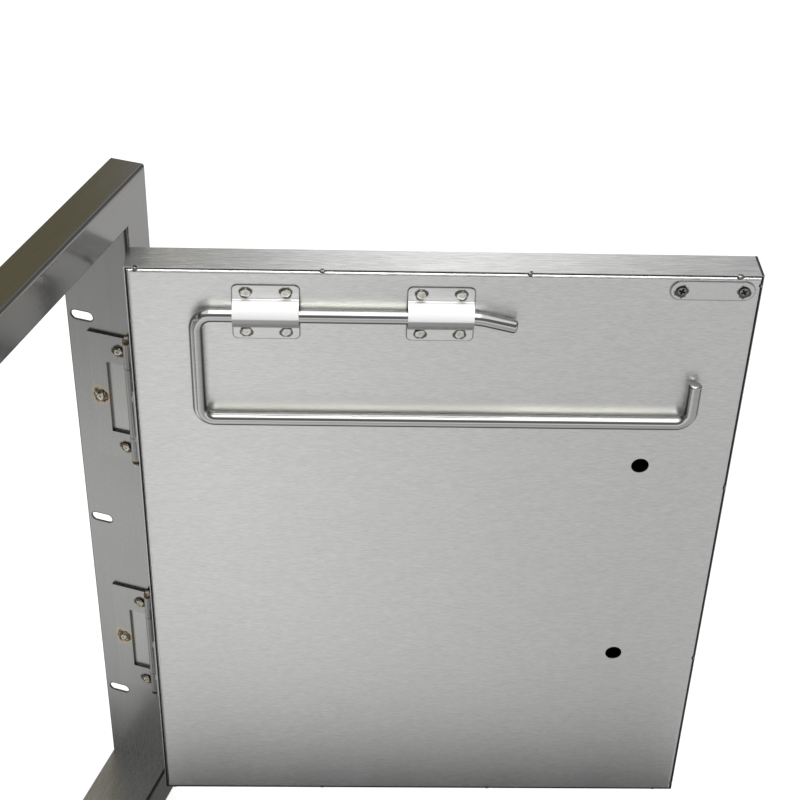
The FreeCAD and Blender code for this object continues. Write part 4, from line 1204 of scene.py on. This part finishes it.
class UNIT_OT_dress_sheet(bpy.types.Operator):
    """Brushed and satin finishes of the frame, the fronts, the trays and the cage"""
    bl_idname = "unit.dress_sheet"
    bl_label = "Dress the sheet metal"

    def execute(self, context):
        colours = context.scene.unit_colours
        grain_group()
        cloud_group()
        outline_group()
        halo_group()
        tint_group(colours)
        wall = tuple(colours.wall)
        front = tuple(colours.front)
        liner = tuple(colours.liner)
        # Painted light on the jamb in the hinge leaves' windows.
        window = toned(wall, 1.22)
        # Warm colour of the painted reflection of the towel rod on the liner.
        rod_reflection_colour = (1.0, 0.99, 0.92)
        satin = dict(rough=(0.24, 0.34), contrast=0.05)
        lining = dict(rough=(0.30, 0.36), run=0.005, pitch=0.0004, contrast=0.12, cut=0.00005, film=0.4)
        sheets = (
            ("trim_brushed", tuple(colours.trim), ("face_trim",),
             dict(rough=(0.14, 0.22), upright=trim_grain, contrast=0.05, cut=0.000004, dark=trim_fold_shade)),
            ("hinge_jamb_satin", wall, ("right_jamb",),
             dict(satin, upright=1.0, halos=hinge_halos, dark=jamb_lines, glow=(window_painted_light, window))),
            ("far_jamb_satin", wall, ("left_jamb",), dict(satin, upright=1.0, dark=slot_lines)),
            ("mullion_satin", wall, ("mullion",), dict(satin, upright=1.0, dark=wall_seam)),
            ("sleeve_level", wall, ("head_wall", "sill_wall"), dict(satin, dark=wall_seam)),
            ("door_front_brushed", front, ("door_pan",),
             dict(rough=(0.20, 0.30), shut=True, run=0.012, pitch=0.0004, contrast=0.25,
                  dark=door_skin_edge)),
            ("door_liner_brushed", liner, ("door_liner",),
             dict(lining, shut=True, dark=liner_painted_shade, glow=(rod_painted_reflection, rod_reflection_colour))),
            ("drawer_front_brushed", front, ("upper_drawer_pan", "lower_drawer_pan"),
             dict(rough=(0.20, 0.30), contrast=0.12, dark=skin_edge)),
            ("drawer_liner_brushed", liner, ("upper_drawer_liner", "lower_drawer_liner"), lining),
            ("inside_mill", tuple(colours.inner),
             ("cage_left_side", "cage_right_side", "cage_back", "upper_drawer_tray", "lower_drawer_tray",
              "upper_tray_ends", "lower_tray_ends"),
             dict(rough=(0.34, 0.46), run=0.12, pitch=0.0012, contrast=0.05, film=0.09)),
        )
        for name, steel, nodes, settings in sheets:
            dress(brushed_steel(name, steel, **settings), *nodes)
        return {"FINISHED"}


class UNIT_OT_dress_fittings(bpy.types.Operator):
    """Finishes of the hinges, handles, slides and the magnetic catch"""
    bl_idname = "unit.dress_fittings"
    bl_label = "Dress the fittings"

    def execute(self, context):
        colours = context.scene.unit_colours
        hinge = tuple(colours.hinge)
        handle = tuple(colours.handle)
        plated = tuple(colours.plated)
        fastener = tuple(colours.fastener)
        leaf = dict(rough=(0.24, 0.34), upright=1.0, contrast=0.06)
        bar = dict(rough=(0.20, 0.30), run=0.02, pitch=0.0004, contrast=0.05)
        dress(brushed_steel("hinge_satin", hinge, halos=hinge_halos, dark=leaf_shade, **leaf),
              "upper_hinge_frame_leaf", "lower_hinge_frame_leaf")
        dress(brushed_steel("door_leaf_satin", hinge, dark=knuckle_shade, **leaf),
              "upper_hinge_door_leaf", "lower_hinge_door_leaf", "catch_bracket")
        dress(polished_bar("hinge_pin_bright", fastener, (0.15, 0.28)), "upper_hinge_pin", "lower_hinge_pin")
        dress(brushed_steel("door_handle_satin", handle, shut=True, upright=1.0, **bar), "door_handle")
        dress(brushed_steel("drawer_handle_satin", handle, **bar),
              "upper_drawer_handle", "lower_drawer_handle")
        slides = [
            drawer + "_" + side + "_slide_" + member
            for drawer in ("upper", "lower") for side in ("left", "right")
            for member in ("outer", "middle", "inner")
        ]
        dress(plated_steel("slide_zinc", tuple(colours.slide), (0.24, 0.40)), *slides)
        dress(plated_steel("strike_zinc", plated, (0.28, 0.40), turned((0.0, 1.0, 0.0)), strike_screw_shadows),
              "strike_plate")
        dress(plated_steel("pole_zinc", plated, (0.28, 0.40)), "catch_pole_plates")
        dress(moulded("catch_case_matt", tuple(colours.plastic), (0.45, 0.62), 900.0), "catch_housing")
        dress(moulded("magnet_sintered", tuple(colours.magnet), (0.5, 0.75), 1400.0), "catch_magnet")
        dress(heated_steel("hidden_fasteners", fastener, (0.25, 0.45), 0.6, 0.95),
              "cabinet_slide_rivets", "upper_tray_screws", "lower_tray_screws", "door_handle_screws",
              "upper_drawer_handle_screws", "lower_drawer_handle_screws")
        return {"FINISHED"}


class UNIT_OT_make_towel_rod(bpy.types.Operator):
    """Polished towel rod, swept along its bent line"""
    bl_idname = "unit.make_towel_rod"
    bl_label = "Make the towel rod"

    def execute(self, context):
        door = context.scene.unit_door
        rod = context.scene.unit_rod
        top = door.top - rod.drop
        low = top - rod.loop
        near = door.hinge_edge - rod.near
        far = door.free_edge + rod.far
        kink = door.hinge_edge - rod.toe_start
        depth = door.inner_face + rod.stand_off
        tip = kink - rod.toe_length * math.cos(rod.toe_angle)
        tip_height = top - rod.toe_length * math.sin(rod.toe_angle)
        corners = (
            (tip, depth, tip_height), (kink, depth, top), (near, depth, top), (near, depth, low),
            (far, depth, low), (far, depth, low + rod.hook))
        points, ways = bent_line(corners, (rod.toe_bend, rod.bend, rod.bend, rod.bend))
        off_door = np.array((0.0, 1.0, 0.0))
        points, quads, caps = round_bar(points, ways, off_door, rod.radius, rod.end_round)
        # Painted shade on the rod's sides.
        flank = (turned((1.0, 0.0, 0.0)), turned(off_door), (near + far) / 2)
        bright = polished_bar(
            "rod_polished", tuple(context.scene.unit_colours.rod), (0.06, 0.12), shut=True, flank=flank)
        add_piece("towel_rod_bar", (to_rest(points), quads, caps), bright, "towel_rod",
                  ("towel_rod",))
        return {"FINISHED"}


class UNIT_OT_make_rod_clips(bpy.types.Operator):
    """Two sheet clips with a half-round saddle over the rod"""
    bl_idname = "unit.make_rod_clips"
    bl_label = "Make the rod clips"

    def execute(self, context):
        scene = context.scene
        door = scene.unit_door
        clip = scene.unit_clip
        colours = scene.unit_colours
        bright = clip_steel("clip_bright", tuple(colours.clip), tuple(colours.saddle))
        # The clips' cut sides are darkened partly as painted shade.
        edge = cut_edge_and_shade("clip_cut_edge", toned(colours.clip, 0.45))
        height = door.top - scene.unit_rod.drop
        for name, distance in (("hinge_side", clip.first), ("free_side", clip.second)):
            points, quads, caps = saddle_clip(clip, door.hinge_edge - distance, door.inner_face, height)
            piece = add_piece(name + "_saddle", (to_rest(points), quads, caps), bright, "door",
                              (name + "_rod_clip",))
            piece.data.materials.append(edge)
            around = 2 * CLIP_COLUMNS
            place = np.arange(len(quads)) % around
            at_side = (place == CLIP_COLUMNS - 1) | (place == around - 1)
            cut_face = np.concatenate((at_side, np.ones(len(caps), bool)))
            piece.data.polygons.foreach_set("material_index", cut_face.astype(np.int32))
        return {"FINISHED"}


class UNIT_OT_make_rivets(bpy.types.Operator):
    """Blind rivets of the hinges, the rod clips and the drawer cage"""
    bl_idname = "unit.make_rivets"
    bl_label = "Make the rivets"

    def row(self, name, bases, outs, grip, material, body, node, seed, shut=False, **form):
        """Rivets at bases, each out of line and turned by chance. Form holds values of rivet_shape."""
        draw = np.random.default_rng(seed)
        bases = np.asarray(bases, float)
        outs = np.broadcast_to(np.asarray(outs, float), bases.shape)
        outs = outs + draw.normal(0.0, 0.04, bases.shape)
        turns = draw.uniform(0.0, 2 * np.pi, len(bases))
        shape = rivet_shape(bpy.context.scene.unit_fasteners, grip, seed, **form)
        points, quads, caps = copies(shape, bases, outs, turns)
        if shut:
            points = to_rest(points)
        soot = rivet_painted_shade(len(bases), form.get("hole", 1.0))
        add_piece(name, (points, quads, caps), material, body, (node,), 50.0, soot)

    def execute(self, context):
        steel = tuple(context.scene.unit_colours.fastener)
        plain = heated_steel("rivets_plain", steel, (0.25, 0.45), 0.6, 0.95)
        self.hinge_rows(context.scene, steel, plain)
        self.clip_row(context.scene, steel)
        self.cage_row(context.scene, plain)
        return {"FINISHED"}

    def hinge_rows(self, scene, steel, plain):
        """Three rivets in each frame leaf, with painted shade on their upper back side, and two in each
        door leaf.
        """
        hinge = scene.unit_hinge
        door = scene.unit_door
        # Painted shade on the sides of the jamb's rivets that look up and back.
        burnt = (0.0, 0.7, 0.7)
        tinted = heated_steel("rivets_heat_tinted", toned(steel, 1.4), (0.12, 0.26), 0.30, 0.80, burnt)
        face = hinge.wall - hinge.frame_leaf
        in_leaf = (
            (hinge.arm_depth, hinge.arm_rivet), (hinge.arm_depth, -hinge.arm_rivet), (hinge.back_depth, 0.0))
        spots = [(face, PIN_Y + depth, level + up) for level in hinge_levels() for depth, up in in_leaf]
        self.row("jamb_hinge_rivets", spots, (-1, 0, 0), hinge.frame_leaf + scene.unit_trim.sheet, tinted,
                 "frame", "hinge_frame_rivets", 11, hole=0.45, wobble=0.11)
        middle = (door.inner_face + door.outer_face) / 2
        spots = [
            (door.hinge_edge + hinge.door_leaf, middle, level + step * hinge.door_rivets / 2)
            for level in hinge_levels() for step in (1, -1)]
        self.row("door_edge_rivets", spots, (1, 0, 0), hinge.door_leaf + door.sheet, plain, "door",
                 "hinge_door_rivets", 3, shut=True)

    def clip_row(self, scene, steel):
        """Four flat rivets in each rod clip."""
        door = scene.unit_door
        clip = scene.unit_clip
        light = heated_steel("clip_rivets_tinted", toned(steel, 1.5), (0.16, 0.3), 0.45, 0.95)
        height = door.top - scene.unit_rod.drop
        aside = clip.width / 2 - clip.rivet_inset
        rise = (clip.saddle + clip.height / 2) / 2
        spots = [
            (door.hinge_edge - centre + across, door.inner_face + clip.sheet, height + up)
            for centre in (clip.first, clip.second) for across in (-aside, aside) for up in (-rise, rise)]
        self.row("saddle_rivets", spots, (0, 1, 0), clip.sheet + door.sheet, light, "door",
                 "rod_clip_rivets", 7, shut=True, hole=0.2, wobble=0.07, flat=0.6)

    def cage_row(self, scene, plain):
        """Four rivets at the front and the back of each side of the drawer cage, from the inside."""
        sizes = scene.unit_fasteners
        low, high = node_box("cage_rivets")
        edge = sizes.tail_length + sizes.cage_grip
        places = (low[0] + edge, high[0] - edge)
        depths = (low[1] + sizes.head, high[1] - sizes.head)
        from_middle = (-sizes.cage_outer, -sizes.cage_inner, sizes.cage_inner, sizes.cage_outer)
        spots = [(x, y, PIN_Z + step) for x in places for y in depths for step in from_middle]
        outs = np.repeat(((1.0, 0.0, 0.0), (-1.0, 0.0, 0.0)), len(spots) // 2, axis=0)
        self.row("cage_wall_rivets", spots, outs, sizes.cage_grip, plain, "frame", "cage_rivets", 5)


class UNIT_OT_make_screws(bpy.types.Operator):
    """Cross-recessed screws of the strike plate and the catch"""
    bl_idname = "unit.make_screws"
    bl_label = "Make the screws"

    def execute(self, context):
        scene = context.scene
        sizes = scene.unit_fasteners
        strike = scene.unit_strike
        door = scene.unit_door
        steel = toned(scene.unit_colours.fastener, 0.55)
        dark = heated_steel("screws_blackened", steel, (0.25, 0.5), 0.5, 0.85)
        sides = (-0.5, 0.5)
        middle = door.free_edge + strike.edge
        face = door.inner_face + strike.sheet
        shape, soot = screw_shape(sizes.screw_head, sizes.screw_rise, sizes.shank, strike.screw_grip)
        bases = [(middle + side * strike.pitch, face, door.top - strike.drop) for side in sides]
        points, quads, caps = copies(shape, bases, [(0, 1, 0)] * 2, (0.5, 1.2))
        add_piece("strike_plate_screws", (to_rest(points), quads, caps), dark, "door",
                  ("strike_screws",), 35.0, np.tile(soot, 2))
        shape, soot = screw_shape(sizes.head, sizes.rise, sizes.shank, strike.foot_grip)
        depth = (face + strike.room + node_box("head_wall")[1][1]) / 2
        bases = [(middle + side * strike.foot_pitch, depth, strike.foot_height) for side in sides]
        screws = copies(shape, bases, [(0, 0, -1)] * 2, (0.2, 0.9))
        add_piece("catch_foot_screws", screws, dark, "frame", ("catch_screws",), 35.0,
                  np.tile(soot, 2))
        return {"FINISHED"}


class UNIT_OT_make_welds(bpy.types.Operator):
    """Weld tacks along the seam of the door's two skins, and welds on the hinges"""
    bl_idname = "unit.make_welds"
    bl_label = "Make the welds"

    def execute(self, context):
        draw = np.random.default_rng(5)
        self.tacks(context.scene, draw)
        self.beads(context.scene, draw)
        return {"FINISHED"}

    def tacks(self, scene, draw):
        """Low domes on the seam along the door's top, bottom and free edge, held inside its outline and
        sloped off towards the free edge."""
        sizes = scene.unit_fasteners
        door = scene.unit_door
        across = [door.hinge_edge - from_hinge for from_hinge in (0.007, 0.123, 0.253, 0.385)]
        heights = [door.top - drop for drop in (0.0074, 0.1697, 0.332, 0.4706)]
        depth = door.rim - 0.0002
        inset = 0.001
        seams = (
            [((x, depth, door.top - inset), (0, 0.75, 0.66)) for x in across]
            + [((x, depth, door.bottom + inset), (0, 0.75, -0.66)) for x in across]
            + [((door.free_edge + inset, depth, z), (-0.66, 0.75, 0)) for z in heights]
        )
        tacks = [
            copies(weld_shape(sizes.tack * draw.uniform(0.85, 1.1), sizes.tack_rise, draw.uniform(0, 6)),
                   [base], [out], [draw.uniform(0, 6)])
            for base, out in seams
        ]
        points, quads, caps = together(*tacks)
        points[:, 0] = np.maximum(points[:, 0], door.free_edge)
        points[:, 1] = np.minimum(points[:, 1], door.rim + 0.8 * (points[:, 0] - door.free_edge))
        points[:, 2] = np.clip(points[:, 2], door.bottom, door.top)
        bright = heated_steel("tacks_bright", tuple(scene.unit_colours.fastener), (0.22, 0.5), 0.55, 0.9)
        add_piece("door_seam_tacks", (to_rest(points), quads, caps), bright, "door", (), 60.0,
                  weld_soot(len(seams)))

    def beads(self, scene, draw):
        """Welds round both ends of each hinge pin, and a burnt ring round the rivet behind each window."""
        sizes = scene.unit_fasteners
        hinge = scene.unit_hinge
        face = hinge.wall - hinge.frame_leaf
        beads = []
        for level in hinge_levels():
            for side in (1, -1):
                shape = bead_shape(sizes.bead_inside, sizes.bead, sizes.bead_rise, draw.uniform(0, 6))
                beads.append(copies(shape, [(PIN_X, PIN_Y, level + side * hinge.reach)], [(0, 0, side)]))
            shape = bead_shape(sizes.head * 0.9, hinge.burn, hinge.burn_rise, draw.uniform(0, 6), 3)
            beads.append(copies(shape, [(face, PIN_Y + hinge.back_depth, level)], [(-1, 0, 0)]))
        burnt = heated_steel("pin_welds_burnt", tuple(scene.unit_colours.fastener), (0.25, 0.5), 0.25, 0.52)
        add_piece("hinge_welds", together(*beads), burnt, "frame", (), 60.0)


class UNIT_OT_set_stage(bpy.types.Operator):
    """Pale floor, soft lamps, white surroundings and the camera"""
    bl_idname = "unit.set_stage"
    bl_label = "Set the stage"

    def execute(self, context):
        scene = context.scene
        studio = scene.unit_studio
        self.floor(studio)
        self.walls(studio)
        self.surroundings(scene, studio)
        self.lamp("top_lamp", (0.45, -0.22, 2.7), (0.403, -0.236, 0.2), (1.35, 2.4), studio.top_power)
        hidden = (
            ("fill_lamp", (0.45, -0.15, 2.72), (0.4, -0.15, 0.2), (2.4, 2.4), studio.fill_power),
            ("front_lamp", (-1.1, -0.9, 1.15), (0.4, -0.2, 0.35), (1.2, 1.2), studio.front_power),
        )
        for lamp in hidden:
            self.lamp(*lamp).visible_glossy = False
        self.camera(scene, studio)
        scene.view_settings.view_transform = "Standard"
        return {"FINISHED"}

    def floor(self, studio):
        """Level square far larger than the unit, just under its lowest point. Its grid is finest at the
        door, where place = 0.3 sinh(5 t). White to the camera, it has a tone of its own in the steel: dark
        along the open door's foot, lighter away from it and towards the unit, and dim behind the door."""
        count = 121
        reach = 0.3 * np.sinh(5.0 * np.linspace(-1.0, 1.0, count))
        x, y = np.meshgrid(0.35 + reach, -0.25 + reach, indexing="ij")
        room = 0.0004
        points = np.stack((x, y, np.full_like(x, CAD_BOX[0][2] - room)), -1).reshape(-1, 3)
        door = bpy.context.scene.unit_door
        foot = to_rest((door.hinge_edge, door.inner_face, 0.0))
        along = to_rest((door.free_edge, door.inner_face, 0.0)) - foot
        wide = np.linalg.norm(along[:2])
        along = along / wide
        off = turned((0.0, 1.0, 0.0))
        dx = x - foot[0]
        dy = y - foot[1]
        ahead = dx * off[0] + dy * off[1]
        beside = np.clip(np.abs(dx * along[0] + dy * along[1] - wide / 2) - wide / 2, 0.0, None)
        gap = np.hypot(ahead, 2.5 * beside)
        near_front = np.interp(
            gap, (0.05, 0.09, 0.15, 0.30, 0.50, 0.85, 1.5, 4.0, 9.0),
            (0.0, 0.5, 0.86, 0.97, 1.07, 1.16, 1.17, 1.22, 1.35))
        across = np.interp(y, (-0.9, -0.6, -0.38, -0.15, 0.1), (0.64, 0.69, 0.88, 1.07, 1.14))
        front = studio.foot_tone + (studio.floor_tone * across - studio.foot_tone) * near_front
        side = studio.side_tone + 0.25 * self.ease(y, -0.85, -0.1) + 0.1 * self.ease(x, 0.3, 1.1)
        behind = studio.behind_tone + (side - studio.behind_tone) * self.ease(beside, 0.07, 0.2)
        tone = behind + (front - behind) * self.ease(ahead, 0.0, 0.02)
        self.stage_piece("studio_floor", points, count, count, self.floor_finish(studio),
                         np.repeat(tone.reshape(-1, 1), 3, 1))

    def floor_finish(self, studio):
        """Matt floor with a lift for the camera, and only its own tone for steel."""
        material = empty_material("pale_floor")
        tree = material.node_tree
        grain = noise(tree, tree.nodes.new("ShaderNodeTexCoord").outputs["Object"], 3.0, 2.0)
        pale = mixed(tree, grain, rgba(toned(studio.floor, 0.985)), rgba(studio.floor))
        matt = add(tree, "ShaderNodeBsdfDiffuse", {"Color": pale}).outputs[0]
        path = tree.nodes.new("ShaderNodeLightPath").outputs
        own = add(tree, "ShaderNodeAttribute", attribute_name="tone").outputs["Fac"]
        steel = times(tree, path["Is Glossy Ray"], own)
        lift = maths(tree, "MULTIPLY_ADD", path["Is Camera Ray"], studio.floor_lift, steel)
        glow = add(tree, "ShaderNodeEmission", {"Strength": lift}).outputs[0]
        lit = maths(tree, "SUBTRACT", 1.0, path["Is Glossy Ray"])
        matt = add(tree, "ShaderNodeMixShader", {0: lit, 2: matt}).outputs[0]
        both = add(tree, "ShaderNodeAddShader", {0: matt, 1: glow}).outputs[0]
        add(tree, "ShaderNodeOutputMaterial", {"Surface": both})
        return material

    def walls(self, studio):
        """Wide upright cylinder round the unit that only steel sees: dim behind the camera, grey with a
        bright middle behind the unit, a dark flag to the right of the back, and white above."""
        columns = 361
        rows = 60
        radius = 3.2
        eye_height = 0.45
        turn = np.radians(np.linspace(-180.0, 180.0, columns))
        a, z = np.meshgrid(turn, np.linspace(-0.028, 6.5, rows), indexing="ij")
        points = np.stack((0.35 + radius * np.cos(a), -0.1 + radius * np.sin(a), z), -1).reshape(-1, 3)
        degrees = np.degrees(a)
        rise = np.degrees(np.arctan2(z - eye_height, radius))
        back = np.interp(
            degrees, (-60, -25, -3, 2, 13, 22, 27, 80, 110), (0.0, 0.85, 0.9, 1.0, 2.3, 1.0, 0.73, 0.8, 0.0))
        at_back = studio.back_tone * np.maximum(back, 0.73)
        grey = studio.front_tone + (at_back - studio.front_tone) * np.clip(back, 0, 1)
        low = np.interp(rise, (1.0, 6.0, 16.0), (1.35 * studio.floor_tone, studio.floor_tone, 0.0))
        grey = np.maximum(grey, low)
        grey = grey + (1 - grey) * self.ease(rise, 44.0, 54.0)
        flag = np.interp(degrees, (27.6, 29.0, 75.0, 95.0), (0.0, 1.0, 1.0, 0.0))
        flag = (flag * (1 - self.ease(rise, 52.0, 60.0)))[..., None]
        tone = grey[..., None] + flag * (np.array(studio.dark) - grey[..., None])
        material = empty_material("studio_walls")
        tree = material.node_tree
        shade = add(tree, "ShaderNodeAttribute", attribute_name="tone").outputs["Color"]
        glow = add(tree, "ShaderNodeEmission", {"Color": shade}).outputs[0]
        add(tree, "ShaderNodeOutputMaterial", {"Surface": glow})
        walls = self.stage_piece("studio_walls", points, columns, rows, material, tone.reshape(-1, 3))
        for kind in ("camera", "diffuse", "transmission", "shadow", "volume_scatter"):
            setattr(walls, "visible_" + kind, False)

    def ease(self, value, low, high):
        """0 below low, 1 above high, and a smooth step between them."""
        t = np.clip((value - low) / (high - low), 0.0, 1.0)
        return t * t * (3 - 2 * t)

    def stage_piece(self, name, points, rows, columns, material, tone):
        """Open grid of quads with a colour at each point."""
        i, j = np.meshgrid(np.arange(rows - 1), np.arange(columns - 1), indexing="ij")
        first = i * columns + j
        faces = np.stack((first, first + columns, first + columns + 1, first + 1), -1).reshape(-1, 4)
        mesh = bpy.data.meshes.new(name)
        mesh.from_pydata(points.tolist(), [], faces.tolist())
        mesh.materials.append(material)
        mark = mesh.attributes.new("tone", "FLOAT_COLOR", "POINT")
        full = np.concatenate((tone, np.ones((len(points), 1))), 1)
        mark.data.foreach_set("color", full.astype(np.float32).ravel())
        piece = bpy.data.objects.new(name, mesh)
        bpy.context.scene.collection.objects.link(piece)
        return piece

    def surroundings(self, scene, studio):
        """White for the camera and for rays that metal or glass sends on, and a softer white as light."""
        world = bpy.data.worlds.new("white_studio")
        world.use_nodes = True
        tree = world.node_tree
        tree.nodes.clear()
        path = tree.nodes.new("ShaderNodeLightPath").outputs
        shiny = strongest(tree, path["Is Glossy Ray"], path["Is Transmission Ray"])
        seen = strongest(tree, path["Is Camera Ray"], shiny)
        strength = mapped(tree, seen, 0.0, 1.0, studio.sky, 1.0)
        back = add(tree, "ShaderNodeBackground", {"Color": (1, 1, 1, 1), "Strength": strength}).outputs[0]
        add(tree, "ShaderNodeOutputWorld", {"Surface": back})
        scene.world = world

    def lamp(self, name, place, target, size, power):
        """Soft rectangular lamp at a place, turned to a target."""
        light = bpy.data.lights.new(name, "AREA")
        light.shape = "RECTANGLE"
        light.size, light.size_y = size
        light.energy = power
        lamp = bpy.data.objects.new(name, light)
        bpy.context.scene.collection.objects.link(lamp)
        back = np.array(place) - np.array(target)
        back = back / np.linalg.norm(back)
        side = np.cross((0.0, 0.0, 1.0), back)
        side = side / np.linalg.norm(side)
        lamp.matrix_world = self.placed((side, np.cross(back, side), back), place)
        return lamp

    def camera(self, scene, studio):
        """Camera at the photograph's viewing angle, given by its right and up."""
        data = bpy.data.cameras.new("photo_camera")
        data.sensor_width = 36.0
        data.lens = studio.lens
        data.clip_start = 0.01
        data.clip_end = 200.0
        camera = bpy.data.objects.new("photo_camera", data)
        scene.collection.objects.link(camera)
        right = (0.30914, -0.95063, 0.02723)
        up = (0.550842, 0.202327, 0.809715)
        camera.matrix_world = self.placed((right, up, np.cross(right, up)), (-0.42809, -0.45508, 1.02838))
        scene.camera = camera

    def placed(self, axes, place):
        """Blender matrix from three axes and a place, each a column."""
        whole = np.eye(4)
        whole[:3, :] = np.stack((*axes, place), 1)
        return Matrix(whole.tolist())


class UNIT_PT_pieces(bpy.types.Panel):
    """Lists what makes up the unit"""
    bl_label = "Door and drawer unit"
    bl_idname = "UNIT_PT_pieces"
    bl_space_type = "VIEW_3D"
    bl_region_type = "UI"
    bl_category = "Kitchen unit"

    def draw(self, context):
        for operator in OPERATORS:
            self.layout.operator(operator.bl_idname)


SETTINGS = (
    ("unit_colours", UnitColours),
    ("unit_trim", TrimSizes),
    ("unit_door", DoorSizes),
    ("unit_hinge", HingeSizes),
    ("unit_slot", SlotSizes),
    ("unit_rod", RodSizes),
    ("unit_clip", ClipSizes),
    ("unit_strike", StrikeSizes),
    ("unit_fasteners", FastenerSizes),
    ("unit_studio", StudioSettings),
)
OPERATORS = (
    UNIT_OT_dress_sheet, UNIT_OT_dress_fittings, UNIT_OT_make_towel_rod, UNIT_OT_make_rod_clips,
    UNIT_OT_make_rivets, UNIT_OT_make_screws, UNIT_OT_make_welds, UNIT_OT_set_stage,
)


def register():
    """Make the settings, the operators and the panel known to Blender."""
    for name, settings in SETTINGS:
        bpy.utils.register_class(settings)
        setattr(bpy.types.Scene, name, PointerProperty(type=settings))
    for operator in OPERATORS:
        bpy.utils.register_class(operator)
    bpy.utils.register_class(UNIT_PT_pieces)


def unregister():
    """Take them out again, in reverse order."""
    bpy.utils.unregister_class(UNIT_PT_pieces)
    for operator in reversed(OPERATORS):
        bpy.utils.unregister_class(operator)
    for name, settings in reversed(SETTINGS):
        delattr(bpy.types.Scene, name)
        bpy.utils.unregister_class(settings)


def main():
    """Dress the unit, make its finer pieces and set the stage."""
    register()
    bpy.ops.unit.dress_sheet()
    bpy.ops.unit.dress_fittings()
    bpy.ops.unit.make_towel_rod()
    bpy.ops.unit.make_rod_clips()
    bpy.ops.unit.make_rivets()
    bpy.ops.unit.make_screws()
    bpy.ops.unit.make_welds()
    bpy.ops.unit.set_stage()
    bpy.context.view_layer.update()


if __name__ == "__main__":
    main()
